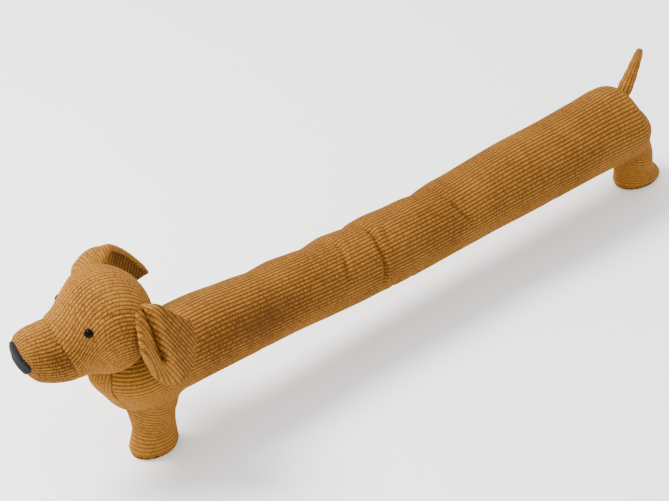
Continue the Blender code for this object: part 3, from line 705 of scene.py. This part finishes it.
def make_body(side, name, material, nodes):
    """One side panel of the body with its half of the legs: side is 1 near, -1 far."""
    columns = body_columns()
    rows = BODY_WALES * POINTS_PER_WALE + 1
    angles = np.linspace(0, math.pi, rows)
    grid = np.array([body_column(*column, angles) for column in columns])
    grid[0, :, 1] = grid[-1, :, 1] = 0.0
    grid[:, 0, 1] = 0.0
    grid = ease_into_legs(grid, angles)
    flat = np.array([column[3] is None for column in columns])
    grid[flat, -1, 1] = 0.0
    legs = []
    for leg, wales in (("front", FRONT_LEG_WALES), ("rear", REAR_LEG_WALES)):
        tab = [i for i, column in enumerate(columns) if column[3] == leg]
        t = [columns[i][2] for i in tab]
        if leg == "front":
            tab.append(tab[-1] + 1)
            t.append(math.pi)
        shares = np.linspace(0, 1, wales * POINTS_PER_WALE + 1)
        hoops = hoop_point(leg, np.array(t)[:, None], shares[None, :])
        hoops[0, :, 1] = hoops[-1, :, 1] = 0.0
        legs.append((tab, hoops, np.linspace(0, wales, len(shares))))
    x = np.array([column[0] for column in columns])[:, None] + 0 * angles
    turn = np.array([column[1] for column in columns])[:, None] + 0 * angles
    around = angles[None, :] + 0 * x
    wale = np.linspace(0, BODY_WALES, rows)[None, :] + 0 * x
    side_row = grid[:, rows // 2]
    run = np.concatenate([[0], np.cumsum(np.linalg.norm(np.diff(side_row, axis=0), axis=1))])
    along = (run / WALE_PITCH)[:, None] + 0 * x
    normal = grid_normals(grid, (0.1, 0.0, 0.095))
    normal[0, :, 1] = normal[-1, :, 1] = 0.0
    normal[:, 0] = (0.0, 0.0, 1.0)
    normal[flat, -1] = (0.0, 0.0, -1.0)
    normal[0, 0] = normal[1, 0]
    rise = wale_profile(wale) * WALE_HEIGHT
    folds = crease_depth(x, around, side)
    rise += folds
    edge = gusset_half_turn(around)
    over = np.where(turn < math.pi / 2, (edge - turn) * GUSSET_REACH, -1.0)
    under = smooth_step((over + UNDER_START) / UNDER_LENGTH)
    rise = rise * (1 - under) - UNDER_DEPTH * under
    belly = smooth_step((angles - BELLY_SEAM[0]) / BELLY_SEAM[1])[None, :] * flat[:, None]
    rise = rise * (1 - belly) - BELLY_DEPTH * belly
    grid = grid + normal * rise[:, :, None]
    skin = Skin()
    mirror = np.array([1.0, side, 1.0])
    # Painted shade on the tube's side and painted light on the legs, fading into each other at the
    # chest and the rump
    (chest, chest_fade), (rump, rump_fade) = SHADE_TO_LIGHT_FADES
    tube = smooth_step((x + chest) / chest_fade) * smooth_step((rump - x) / rump_fade)
    painted_tone = BODY_SIDE_SHADE + (LEG_LIGHT - BODY_SIDE_SHADE) * (1 - tube)
    painted_tone = painted_tone + noise_field(grid, *BODY_NAP_DRIFT)
    degrees = np.degrees(angles)[None, :]
    # Painted shadow on the near side of the body, behind the near ear
    ear_shadow = ((x - EAR_SHADOW_X) / EAR_SHADOW_LENGTH) ** 2, ((degrees - EAR_SHADOW_ANGLE) / EAR_SHADOW_SPREAD) ** 2
    painted_tone = painted_tone - EAR_SHADOW * np.exp(-ear_shadow[0] - ear_shadow[1]) * (side > 0)
    # Painted bounce light: the lower flank of the tube made lighter
    painted_tone = painted_tone + BOUNCE_LIGHT * np.exp(-((degrees - BOUNCE_LIGHT_ANGLE) / BOUNCE_LIGHT_SPREAD) ** 2) * tube
    # Painted shade along the deeper creases
    painted_tone = painted_tone + CREASE_SHADE * np.minimum(folds / MM + 0.8, 0)
    skin.add(grid * mirror, along, wale, painted_tone, flip=side > 0)
    for tab, hoops, count in legs:
        outward = grid_normals(hoops, hoops.mean(axis=(0, 1)))
        outward[0, :, 1] = outward[-1, :, 1] = 0.0
        height = wale_profile(count) * WALE_HEIGHT
        tuck = smooth_step(count - (count[-1] - 1.0)) * SOLE_TUCK
        hoops = hoops + outward * (height - tuck)[None, :, None]
        hoops[:, 0] = grid[tab, -1]
        # The legs carry painted light
        skin.add(hoops * mirror, along[tab, :1], BODY_WALES + count[None, :], LEG_LIGHT,
                 flip=side > 0)
    return skin.build(name, material, *nodes)


def make_sole(name, table, material):
    """Padded oval sole, its edge rounded."""
    _, centre, length, width = table[-1]
    t = turns(SOLE_AROUND)
    share = np.linspace(0, 1, SOLE_RINGS)
    share = np.concatenate([share, share[::-1][1:]])
    edge = SOLE_HALF * np.clip((1 - share) / SOLE_ROUNDING, 0, 1) ** 0.5
    z = SOLE_HALF + np.where(np.arange(len(share)) < SOLE_RINGS, -edge, edge)
    grid = np.stack([
        centre * MM - length * MM * SOLE_OVERLAP * share[:, None] * np.cos(t),
        -width * MM * SOLE_OVERLAP * share[:, None] * np.sin(t),
        z[:, None] + 0 * t,
    ], axis=-1)
    return dress(f"plush_{name}", name, material, grid, grid[:, :, 0] / WALE_PITCH,
                 grid[:, :, 1] / WALE_PITCH, flip=False)


def head_axes():
    """Directions ahead, to the dog's left and up, in the head's own frame."""
    turn, nod = HEAD_TURN, HEAD_NOD
    ahead = np.array([-math.cos(turn) * math.cos(nod), math.sin(turn) * math.cos(nod),
                      -math.sin(nod)])
    left = np.array([-math.sin(turn), -math.cos(turn), 0.0])
    up = np.cross(left, ahead)
    return ahead, left, up if up[2] > 0 else -up


def head_point(section, angle):
    """Points of sections of the head or muzzle, at angles from its top."""
    ahead, left, up = head_axes()
    distance, width, height, lift, rake = (section[..., k, None] * MM for k in range(5))
    return (
        HEAD_CENTRE
        + (distance + rake * np.cos(angle))[..., None] * ahead
        + (width * np.sin(angle))[..., None] * left
        + (lift + height * np.cos(angle))[..., None] * up
    )


def loft_sections(table, steps):
    """Sections at even steps along the table's rows, on a smooth curve with a round end."""
    data = np.array(table, float)
    at = np.arange(len(data), dtype=float)
    places = np.linspace(0, len(data) - 1, steps)
    padded = np.vstack([data[1], data, data[-2]])
    for end, last, before in ((0, data[0], data[1]), (-1, data[-1], data[-2])):
        if last[1] == 0:
            padded[end, 1:3] *= -1
        else:
            padded[end] = 2 * last - before
    knots = np.concatenate([[-1.0], at, [at[-1] + 1]])
    return np.stack([spline(places, knots, padded[:, k]) for k in range(5)], axis=1)


def arc_from_top(grid):
    """Length around each closed section from its top, on both sides."""
    closed = np.concatenate([grid, grid[:, :1]], axis=1)
    steps = np.linalg.norm(np.diff(closed, axis=1), axis=2)
    run = np.concatenate([np.zeros((len(grid), 1)), np.cumsum(steps, axis=1)], axis=1)
    whole = run[:, -1:]
    run = run[:, :-1]
    return np.minimum(run, whole - run)


def length_along(grid):
    """Length from the first section along the grid."""
    steps = np.linalg.norm(np.diff(grid, axis=0), axis=2).mean(axis=1)
    return np.concatenate([[0], np.cumsum(steps)])


def clear_of_tube(points, margin):
    """Pushes points off the tube's surface, away from its centre line."""
    x = np.clip(points[..., 0], CHEST_X, RUMP_X)
    centre, radius = body_section(x)
    axis = np.stack([x, 0 * x, centre], axis=-1)
    away = points - axis
    limit = radius + WALE_HEIGHT + margin
    turn = np.where(points[..., 0] > RUMP_X, math.pi, 0.0)
    reach = cap_reach(turn, np.arccos(np.clip(away[..., 2] / limit, -1, 1)))
    away[..., 0] /= reach
    size = np.linalg.norm(away, axis=-1)
    grow = np.maximum(1.0, limit / np.maximum(size, 1e-9))
    away = away * grow[..., None]
    away[..., 0] *= reach
    return axis + away


def clear_of_head(points, margin):
    """Pushes points off the head's ball."""
    away = points - HEAD_CENTRE
    limit = BALL_RADIUS + WALE_HEIGHT + margin
    size = np.linalg.norm(away, axis=-1)
    return HEAD_CENTRE + away * np.maximum(1.0, limit / size)[..., None]


def make_head(material):
    """Ball of the head, with the seam at the muzzle and a dart on either side."""
    sections = loft_sections(HEAD_SECTIONS, HEAD_ROWS)
    angle = turns(HEAD_AROUND)
    grid = head_point(sections, angle[None, :])
    wale = arc_from_top(grid) / WALE_PITCH + 0.5
    run = length_along(grid)
    along = (run / WALE_PITCH)[:, None] + 0 * wale
    normal = grid_normals(grid, HEAD_CENTRE, closed=True)
    normal[0] = -head_axes()[0]
    fade = np.clip(sections[:, 1] / HEAD_POLE, 0, 1)[:, None]
    rise = wale_profile(wale) * WALE_HEIGHT * fade
    rise += noise_field(grid, *HEAD_LUMPS)
    rise -= SEAM_DEPTH * np.exp(-((run[-1] - run)[:, None] / SEAM_WIDTH) ** 2)
    dart = np.array(DART)
    for sign in (1, -1):
        ahead_mm = sections[:, :1] + 0 * wale
        degrees = np.degrees(np.where(angle > math.pi, angle - 2 * math.pi, angle))[None, :] * sign
        line = np.interp(ahead_mm, dart[:, 0], dart[:, 1])
        inside = smooth_step((ahead_mm - dart[0, 0] + DART_FADE[0]) / DART_FADE[0]) * smooth_step(
            (dart[-1, 0] + DART_FADE[1] - ahead_mm) / DART_FADE[2])
        away = np.radians(degrees - line) * DART_RADIUS / DART_WIDTH
        rise -= DART_DEPTH * inside * np.exp(-away * away)
    grid = grid + normal * rise[:, :, None]
    painted_tone = HEAD_NAP + noise_field(grid, *HEAD_NAP_DRIFT)
    return dress("plush_head", "head", material, clear_of_tube(grid, 0.0002), along, wale, painted_tone)


def make_muzzle(material):
    """Muzzle ahead of the seam, its wales drawing together towards the tip."""
    sections = loft_sections(MUZZLE_SECTIONS, MUZZLE_ROWS)
    angle = turns(MUZZLE_WALES * POINTS_PER_WALE)
    grid = head_point(sections, angle[None, :])
    whole = arc_from_top(grid)
    share = whole / whole.max(axis=1, keepdims=True).clip(1e-9)
    wale = share * MUZZLE_WALES / 2 + 0.5
    run = length_along(grid)
    along = (run / WALE_PITCH)[:, None] + 0 * wale
    normal = grid_normals(grid, grid[0].mean(axis=0), closed=True)
    normal[-1] = head_axes()[0]
    fade = np.clip(sections[:, 1] / MUZZLE_POLE, 0, 1)[:, None]
    rise = wale_profile(wale) * WALE_HEIGHT * fade
    rise += noise_field(grid, *MUZZLE_LUMPS)
    rise -= SEAM_DEPTH * np.exp(-(run[:, None] / SEAM_WIDTH) ** 2)
    grid = grid + normal * rise[:, :, None]
    degrees = np.degrees(angle)[None, :]
    # Painted shade on the muzzle's side, fading out along the muzzle from its seam
    brushed_nap_and_shade = np.exp(-((degrees - MUZZLE_SHADE_ANGLE) / MUZZLE_SHADE_SPREAD) ** 2)
    brushed_nap_and_shade = brushed_nap_and_shade * smooth_step((MUZZLE_SHADE_LENGTH - run[:, None]) / MUZZLE_SHADE_FADE)
    painted_tone = MUZZLE_NAP - MUZZLE_SHADE * brushed_nap_and_shade + noise_field(grid, *MUZZLE_NAP_DRIFT)
    return dress("plush_muzzle", "muzzle", material, grid, along, wale, painted_tone)


def make_nose(material):
    """Felt patch over the muzzle's tip, its edge drawn down by the stitching."""
    angle = turns(NOSE_AROUND)
    fine = loft_sections(MUZZLE_SECTIONS, NOSE_FINE_STEPS)
    last = len(fine) - 1
    edge_line = np.array(NOSE_EDGE)
    from_top = np.degrees(np.minimum(angle, 2 * math.pi - angle))
    start = last * spline(from_top, edge_line[:, 0], edge_line[:, 1])
    share = np.linspace(0, 1, NOSE_STEPS)
    grid = np.zeros((NOSE_STEPS, NOSE_AROUND, 3))
    for j, a in enumerate(angle):
        place = start[j] + (last - start[j]) * share
        section = np.stack([np.interp(place, np.arange(last + 1), fine[:, k]) for k in range(5)], 1)
        grid[:, j] = head_point(section, np.array([a]))[:, 0]
    normal = grid_normals(grid, grid[0].mean(axis=0), closed=True)
    normal[-1] = head_axes()[0]
    edge = (1 - (1 - np.clip(share / FELT_EDGE, 0, 1)) ** 2)[:, None]
    swell = WALE_HEIGHT * 0.4 + (FELT_THICKNESS + FELT_LIFT) * edge
    swell = swell + noise_field(grid, *FELT_LUMPS) * edge
    grid = grid + normal * swell[:, :, None]
    under = grid[:1] - normal[:1] * FELT_TUCK
    return dress("felt_nose", "nose_patch", material, np.concatenate([under, grid]))


def head_surface(distance, angle):
    """Place on the head and its outward normal, by distance ahead and angle from the crown."""
    fine = loft_sections(HEAD_SECTIONS, HEAD_FINE_STEPS)
    rows = np.array([[np.interp(d, fine[:, 0], fine[:, k]) for k in range(5)]
                     for d in (distance - 1, distance, distance + 1)])
    here, beside = head_point(rows[1], np.array([angle, angle + 0.02]))
    behind, before = (head_point(rows[k], np.array([angle]))[0] for k in (0, 2))
    normal = np.cross(before - behind, beside - here)
    normal /= np.linalg.norm(normal)
    return here, normal if normal @ (here - HEAD_CENTRE) > 0 else -normal


def make_eye(name, ahead, degrees, material):
    """Domed bead sewn flat to the head."""
    place, outward = head_surface(ahead, math.radians(degrees))
    spin = np.array(Vector(outward).orthogonal().normalized())
    other = np.cross(outward, spin)
    tilt = np.linspace(-EYE_UNDERSIDE, math.pi / 2, EYE_ROWS)
    t = turns(EYE_AROUND)
    foot = place + outward * (WALE_HEIGHT * 0.6 + EYE_LIFT)
    grid = (
        foot
        + outward * (np.sin(tilt) * EYE_DOME)[:, None, None]
        + (EYE_RADIUS * np.cos(tilt))[:, None, None]
        * (spin * np.cos(t)[:, None] + other * np.sin(t)[:, None])[None]
    )
    return dress(f"bead_{name}", name, material, grid, flip=False)


def ear_sheet(root, spokes, side):
    """Middle surface of an ear, on spokes that fan out from a rolled root."""
    angle, tip_x, tip_y, tip_z, out, fore, rise = resample(spokes, EAR_ACROSS)
    angle = np.radians(angle)
    rooted = np.stack([
        root[0] * MM + EAR_ROOT_RADIUS * np.cos(angle),
        np.full(EAR_ACROSS, root[1] * MM),
        root[2] * MM + EAR_ROOT_RADIUS * np.sin(angle) * EAR_ROOT_FLATTEN,
    ], axis=1)
    tips = np.stack([tip_x, tip_y, tip_z], axis=1) * MM
    share = np.linspace(0, 1, EAR_STEPS)[:, None]
    lead = share ** (1.0 if side > 0 else FAR_ARCH)
    arch = 4 * lead * (1 - lead)
    grid = rooted[None] * (1 - share[:, :, None]) + tips[None] * share[:, :, None]
    grid[:, :, 1] -= side * arch * out[None] * MM
    grid[:, :, 0] -= arch * fore[None] * MM
    grid[:, :, 2] += arch * rise[None] * MM
    return grid


def seen_at(points):
    """Where points show in the photograph, in its pixels."""
    back, right, up = (np.array(axis) for axis in camera_axes())
    away = points - ORIGIN - np.array(CAMERA_TARGET) - back * CAMERA_DISTANCE
    depth = -(away @ back)
    pixels = CAMERA_LENS / SENSOR_WIDTH * PHOTO_SIZE[0]
    return np.stack([PHOTO_SIZE[0] / 2 + pixels * (away @ right) / depth,
                     PHOTO_SIZE[1] / 2 - pixels * (away @ up) / depth], axis=-1)


def distance_to_run(places, run):
    """Distance of each place from a line through a run of points, in pixels."""
    best = np.full(places.shape[:-1], 1e9)
    for a, b in zip(np.array(run[:-1], float), np.array(run[1:], float)):
        t = np.clip((places - a) @ (b - a) / ((b - a) @ (b - a)), 0, 1)
        best = np.minimum(best, np.linalg.norm(places - a - t[..., None] * (b - a), axis=-1))
    return best


def make_ear(name, root, spokes, side, lean, folds, material):
    """Two layers of corduroy sewn round the edge; lean is the way the wales run."""
    grid = ear_sheet(root, spokes, side)
    back = np.array(camera_axes()[0])
    seen = seen_at(grid)
    # The outer layer carries painted light
    painted_tone = np.full(grid.shape[:2], LOBE_LIGHT)
    # Painted light on the far ear's lining to the left and painted shade to the right, set by where
    # it shows in the view
    lining_light_and_shade = LOBE_LIGHT + (LINING_SHADE - LOBE_LIGHT) * smooth_step(
        (seen[:, :, 0] - FAR_EAR_SHADE_START) / FAR_EAR_SHADE_FADE)
    tilt = np.full(grid.shape[:2], lean[0])
    if folds:
        line = np.array(folds[0][0])
        beyond = seen[:, :, 0] - np.interp(seen[:, :, 1], line[:, 1], line[:, 0])
        spread = 2.5 + 0.5 * np.clip(seen[:, :, 1] - line[-2, 1], 0, 30)
        tilt = lean[1] + (lean[0] - lean[1]) * smooth_step(beyond / (2 * spread) + 0.5)
        # Painted light on the near ear's lobe, painted shade on its flap
        painted_tone = LOBE_LIGHT + (FLAP_SHADE - LOBE_LIGHT) * smooth_step(beyond / 8 - 1.0)
        # Painted shade along the near ear's fold
        deep = distance_to_run(seen, line[1:-1] + (2.0, 0.0)) / 4.7
        painted_tone = painted_tone - 0.50 * np.exp(-deep ** 4)
        # Painted shade on the near ear's lining
        lining_light_and_shade = np.full(grid.shape[:2], LINING_SHADE)
    x, z = grid[:, :, 0] - FOLD_END[0], grid[:, :, 2] - FOLD_END[1]
    along = (x * np.sin(tilt) - z * np.cos(tilt)) / EAR_PITCH + WALE_START[0]
    wale = (x * np.cos(tilt) + z * np.sin(tilt)) / EAR_PITCH + WALE_START[1]
    for run, height, width in folds:
        away = distance_to_run(seen, run[1:-1] if height < 0 else run) / width
        grid = grid + back * (height * MM * np.exp(-away * away))[..., None]
    normal = grid_normals(grid, HEAD_CENTRE)
    rows, columns = grid.shape[:2]
    across = np.linspace(0, 1, columns)[None, :]
    down = np.linspace(0, 1, rows)[:, None]
    to_edge = np.minimum(np.minimum(across, 1 - across) * EAR_SPAN[0],
                         np.minimum(down, 1 - down) * EAR_SPAN[1])
    round_edge = rounded(to_edge / EAR_ROUNDING)
    half = (EAR_EDGE_THICKNESS + (EAR_THICKNESS - EAR_EDGE_THICKNESS) * smooth_step(
        to_edge / EAR_THINNING)) / 2 * round_edge
    stitch = EAR_STITCH[0] * np.exp(-((to_edge - EAR_STITCH[1]) / EAR_STITCH[2]) ** 2)
    rise = half - stitch * round_edge + wale_profile(wale) * WALE_HEIGHT * 0.8 * round_edge
    root_share = (1 - np.clip(down / EAR_ROOT_SHARE, 0, 1)[:, :, None]) ** 2
    skin = Skin()
    for points, light_shade_and_tone, flip in ((grid + normal * rise[:, :, None], painted_tone, False),
                              (grid - normal * half[:, :, None], lining_light_and_shade, True)):
        away = points - HEAD_CENTRE
        gap = 1 - (BALL_RADIUS - EAR_SINK) / np.linalg.norm(away, axis=2, keepdims=True)
        points = clear_of_head(clear_of_tube(points - away * gap * root_share, 0.001),
                               -0.003 * root_share[:, :, 0])
        skin.add(points, along, wale, light_shade_and_tone, flip=flip)
    return skin.build(f"plush_{name}", material, name, welded=True)


def make_tail(material):
    """Short stuffed tail, its wales running up it, gathered at the root."""
    x, z, radius = (column * MM for column in resample(TAIL_LINE, TAIL_ROWS))
    slope_x, slope_z = np.gradient(x), np.gradient(z)
    length = np.hypot(slope_x, slope_z)
    around = TAIL_WALES * POINTS_PER_WALE
    t = turns(around)
    share = np.linspace(0, 1, TAIL_ROWS)
    tip, tip_length, fullness = TAIL_TIP
    radius = radius * np.sqrt(1 - np.clip((share - tip) / tip_length, 0, 1) ** 2 * fullness)
    radius = radius - TAIL_ROOT[0] * np.exp(-((share - TAIL_ROOT[1]) / TAIL_ROOT[2]) ** 2)
    wale = np.linspace(0, TAIL_WALES, around + 1)[None, :-1] + 0 * share[:, None]
    fade = np.clip(radius / TAIL_POLE, 0.2, 1)[:, None]
    wobble = TAIL_WOBBLE[0] * np.sin(share * TAIL_WOBBLE[1])[:, None] * np.cos(t) ** 2 * fade
    reach = radius[:, None] + (wale_profile(wale) * WALE_HEIGHT * fade + wobble)
    grid = np.stack([
        x[:, None] + (slope_z / length)[:, None] * reach * np.cos(t),
        reach * np.sin(t),
        z[:, None] - (slope_x / length)[:, None] * reach * np.cos(t),
    ], axis=-1)
    run = np.cumsum(length) / WALE_PITCH
    return dress("plush_tail", "tail", material, grid, run[:, None], wale)


def make_gusset(material):
    """Narrow panel down the front of the chest, its wales running down it."""
    data = np.array(GUSSET_EDGE, float)
    degrees = np.linspace(data[0, 0], data[-1, 0], GUSSET_ROWS)
    half_width = spline(degrees, data[:, 0], data[:, 1]) * MM
    down = np.radians(degrees)[:, None]
    centre, radius = body_section(CHEST_X)
    q = np.linspace(-1, 1, GUSSET_WALES * 2 * POINTS_PER_WALE + 1)
    turn = half_width[:, None] * q[None] / (radius * np.sin(down))
    grid = tube_point(CHEST_X + 0 * turn, turn, down + 0 * turn)
    normal = grid_normals(grid, (CHEST_X, 0.0, centre))
    wale = q[None] * half_width[:, None] / WALE_PITCH + 0.5 + 0 * turn
    to_edge = np.minimum(half_width[:, None] * (1 - np.abs(q))[None],
                         radius * np.minimum(down - down[0], down[-1] - down))
    rise = (wale_profile(wale) * WALE_HEIGHT + GUSSET_LIFT) * rounded(to_edge / GUSSET_ROUNDING)
    top = grid + normal * (rise - GUSSET_SINK)[:, :, None]
    back = grid - normal * GUSSET_SINK
    run = (np.linspace(0, 1, GUSSET_ROWS) * GUSSET_LENGTH / WALE_PITCH)[:, None] + 0 * turn
    skin = Skin()
    # The gusset carries painted light
    skin.add(top, run, wale, GUSSET_LIGHT)
    skin.add(back, run, wale, GUSSET_LIGHT, flip=True)
    return skin.build("plush_gusset", material, "chest_gusset", welded=True)


class Value:
    """A socket in a material's tree, so that its maths reads as plain expressions."""

    def __init__(self, paint, socket):
        self.paint = paint
        self.socket = socket

    def maths(self, operation, *others):
        node = self.paint.tree.nodes.new("ShaderNodeMath")
        node.operation = operation
        for place, value in enumerate((self, *others)):
            self.paint.put(node.inputs[place], value)
        return Value(self.paint, node.outputs[0])

    def __add__(self, other):
        return self.maths("ADD", other)

    def __sub__(self, other):
        return self.maths("SUBTRACT", other)

    def __mul__(self, other):
        return self.maths("MULTIPLY", other)

    __radd__ = __add__
    __rmul__ = __mul__

    def __rsub__(self, other):
        return self * -1 + other

    def zigzag(self):
        """Rises from 0 to 1 and falls again over each whole step."""
        return 1 - (self.maths("FRACT") * 2 - 1).maths("ABSOLUTE")

    def clamp(self):
        return self.maths("MAXIMUM", 0.0).maths("MINIMUM", 1.0)

    def smooth(self, low, high):
        return self.paint.node("ShaderNodeMapRange", {"interpolation_type": "SMOOTHSTEP"},
                               {"Value": self, "From Min": low, "From Max": high})


class Paint:
    """A material with one Principled shader."""

    def __init__(self, name, roughness):
        self.material = bpy.data.materials.new(name)
        self.material.use_nodes = True
        self.tree = self.material.node_tree
        self.shader = self.tree.nodes["Principled BSDF"]
        self.shade("Roughness", roughness)
        self.shade("Specular IOR Level", 0.05)

    def shade(self, socket, value):
        """Sets or feeds one of the shader's sockets."""
        self.put(self.shader.inputs[socket], value)

    def put(self, socket, value):
        if isinstance(value, Value):
            self.tree.links.new(value.socket, socket)
        else:
            socket.default_value = value

    def node(self, kind, settings=None, values=None, output=0):
        made = self.tree.nodes.new(kind)
        for key, value in (settings or {}).items():
            setattr(made, key, value)
        for key, value in (values or {}).items():
            self.put(made.inputs[key], value)
        return Value(self, made.outputs[output])

    def noise(self, vector, scale, detail=2.0):
        return self.node("ShaderNodeTexNoise", None,
                         {"Vector": vector, "Scale": scale, "Detail": detail})

    def cloth_place(self, uv_map):
        """The two coordinates of one of the piece's UV maps."""
        parts = self.tree.nodes.new("ShaderNodeSeparateXYZ")
        self.put(parts.inputs[0], self.node("ShaderNodeUVMap", {"uv_map": uv_map}))
        return Value(self, parts.outputs[0]), Value(self, parts.outputs[1])

    def mix(self, factor, first, second):
        """Blend of two colours, by the colour sockets of a Mix node."""
        made = self.tree.nodes.new("ShaderNodeMix")
        made.data_type = "RGBA"
        for place, value in ((0, factor), (6, first), (7, second)):
            self.put(made.inputs[place], value)
        return Value(self, made.outputs[2])

    def bump(self, height, distance, strength):
        return self.node("ShaderNodeBump", None,
                         {"Height": height, "Distance": distance, "Strength": strength})


def paint_corduroy(name, lit, deep, painted_tone=1.0):
    """Cotton corduroy: valleys darkened with painted shade, beaded ridges and a brushed nap."""
    # lit is the colour of the lit ridges, deep the painted shade down in the valleys
    paint = Paint(name, 0.85)
    place = paint.node("ShaderNodeTexCoord", output="Object")
    along, wale = paint.cloth_place("cloth")
    # Painted tone map: painted light and shade, and the cloth's own uneven tone
    light_shade_and_tone, _ = paint.cloth_place("painted_tone")
    ridge = wale.zigzag()
    rib = wale.maths("FLOOR")
    spot = paint.node("ShaderNodeCombineXYZ", None, {"X": along * 1.9, "Y": rib * 3.37})
    uneven = paint.noise(spot, 1.0, 1.0)
    wander = paint.noise(place, 130.0)
    count = along * 1.35 + rib * 0.618 + wander * 2.2
    beads = count.zigzag() * 0.5 + uneven.smooth(0.35, 0.65) * 0.6
    grain = paint.noise(place, 900.0, 3.0)
    # Large patches of uneven nap tone over the whole cloth
    brushed_nap_and_shade = paint.noise(place, 14.0, 3.0)
    # Painted shade: darker down in the valleys, lighter on the lit, beaded ridges
    valley = ridge.smooth(0.0, 0.7)
    lit_beaded_ridges = valley * (beads.smooth(0.1, 0.85) * 0.55 + 0.35)
    tone = lit_beaded_ridges + (grain - 0.5) * (1.2 * painted_tone) + (brushed_nap_and_shade - 0.5) * (0.8 * painted_tone) + light_shade_and_tone * 1.2 - 0.5
    colour = paint.mix(tone.clamp(), (*deep, 1.0), (*lit, 1.0))
    paint.shade("Base Color", colour)
    height = beads * ridge * 0.5 + grain * 0.45
    paint.shade("Normal", paint.bump(height, 0.0010, 0.9))
    paint.shade("Sheen Weight", 0.06)
    paint.shade("Sheen Roughness", 0.4)
    paint.shade("Sheen Tint", (1.0, 0.50, 0.10, 1.0))
    return paint.material


def paint_felt():
    """Dark slate felt with short loose fibres."""
    paint = Paint("slate_felt", 0.95)
    place = paint.node("ShaderNodeTexCoord", output="Object")
    fibre = paint.noise(place, 700.0, 4.0)
    cloud = paint.noise(place, 120.0, 2.0)
    tone = (fibre - 0.5) * 1.6 + (cloud - 0.5) * 0.8 + 0.45
    colour = paint.mix(tone.clamp(), (0.003, 0.003, 0.004, 1.0), (0.020, 0.020, 0.024, 1.0))
    paint.shade("Base Color", colour)
    paint.shade("Normal", paint.bump(fibre, 0.0006, 0.8))
    paint.shade("Sheen Weight", 0.03)
    return paint.material


def paint_bead():
    """Glossy black bead."""
    paint = Paint("black_bead", 0.22)
    paint.shade("Base Color", (0.002, 0.002, 0.002, 1.0))
    paint.shade("Specular IOR Level", 0.04)
    return paint.material


def add_floor():
    """Plain pale matt floor."""
    bpy.ops.mesh.primitive_plane_add(size=FLOOR_SIZE, location=(0.0, 0.0, 0.0))
    floor = bpy.context.object
    floor.name = "floor"
    paint = Paint("pale_floor", 0.9)
    paint.shade("Base Color", (0.97, 0.97, 0.965, 1.0))
    floor.data.materials.append(paint.material)


def camera_axes():
    """Directions back towards the camera, to its right and up."""
    turn, height = math.radians(CAMERA_TURN), math.radians(CAMERA_HEIGHT)
    back = Vector((math.sin(turn) * math.cos(height), -math.cos(turn) * math.cos(height),
                   math.sin(height)))
    right = Vector((math.cos(turn), math.sin(turn), 0.0))
    return back, right, back.cross(right)


def aim(name, data, way, distance):
    """Camera or light at a distance from the dog, looking back at it."""
    item = bpy.data.objects.new(name, data)
    bpy.context.scene.collection.objects.link(item)
    item.location = CAMERA_TARGET + way * distance
    item.rotation_euler = way.to_track_quat("Z", "Y").to_euler()
    return item


def add_camera():
    data = bpy.data.cameras.new("camera")
    data.lens = CAMERA_LENS
    data.sensor_width = SENSOR_WIDTH
    bpy.context.scene.camera = aim("camera", data, camera_axes()[0], CAMERA_DISTANCE)


def add_lights():
    """Two area lights aimed at the dog, and a white world."""
    back, right, up = camera_axes()
    for name, right_way, up_way, back_way, distance, size, power, colour in LIGHTS:
        way = (right * right_way + up * up_way + back * back_way).normalized()
        data = bpy.data.lights.new(name, "AREA")
        data.shape = "DISK"
        data.size = size
        data.energy = power
        data.color = colour
        aim(name, data, way, distance)
    world = bpy.data.worlds.new("studio")
    world.use_nodes = True
    background = world.node_tree.nodes["Background"]
    background.inputs["Color"].default_value = (1.0, 1.0, 1.0, 1.0)
    background.inputs["Strength"].default_value = WORLD_STRENGTH
    bpy.context.scene.world = world


def main():
    cloth = paint_corduroy("golden_corduroy", RIDGE_COLOUR, HEAD_VALLEY_SHADE, 1.5)
    ear_cloth = paint_corduroy("golden_corduroy_ear", RIDGE_COLOUR, EAR_VALLEY_SHADE, 1.2)
    body_cloth = paint_corduroy("golden_corduroy_body", RIDGE_COLOUR, BODY_VALLEY_SHADE)
    near = make_body(1, "body_panel_near", body_cloth, ["body"])
    far = make_body(-1, "body_panel_far", body_cloth, ["body"])
    for name, table in (("front_sole", FRONT_LEG), ("rear_sole", REAR_LEG)):
        make_sole(name, table, cloth)
    make_head(cloth)
    make_muzzle(cloth)
    make_nose(paint_felt())
    bead = paint_bead()
    make_eye("eye_left", *LEFT_EYE, bead)
    make_eye("eye_right", *RIGHT_EYE, bead)
    ear = make_ear("ear_left", LEFT_EAR_ROOT, LEFT_EAR_SPOKES, 1, EAR_LEAN,
                   LEFT_EAR_FOLDS, ear_cloth)
    ear = make_ear("ear_right", RIGHT_EAR_ROOT, RIGHT_EAR_SPOKES, -1, (0.0, 0.0), (), ear_cloth)
    make_tail(body_cloth)
    make_gusset(cloth)
    add_floor()
    add_camera()
    add_lights()


main()
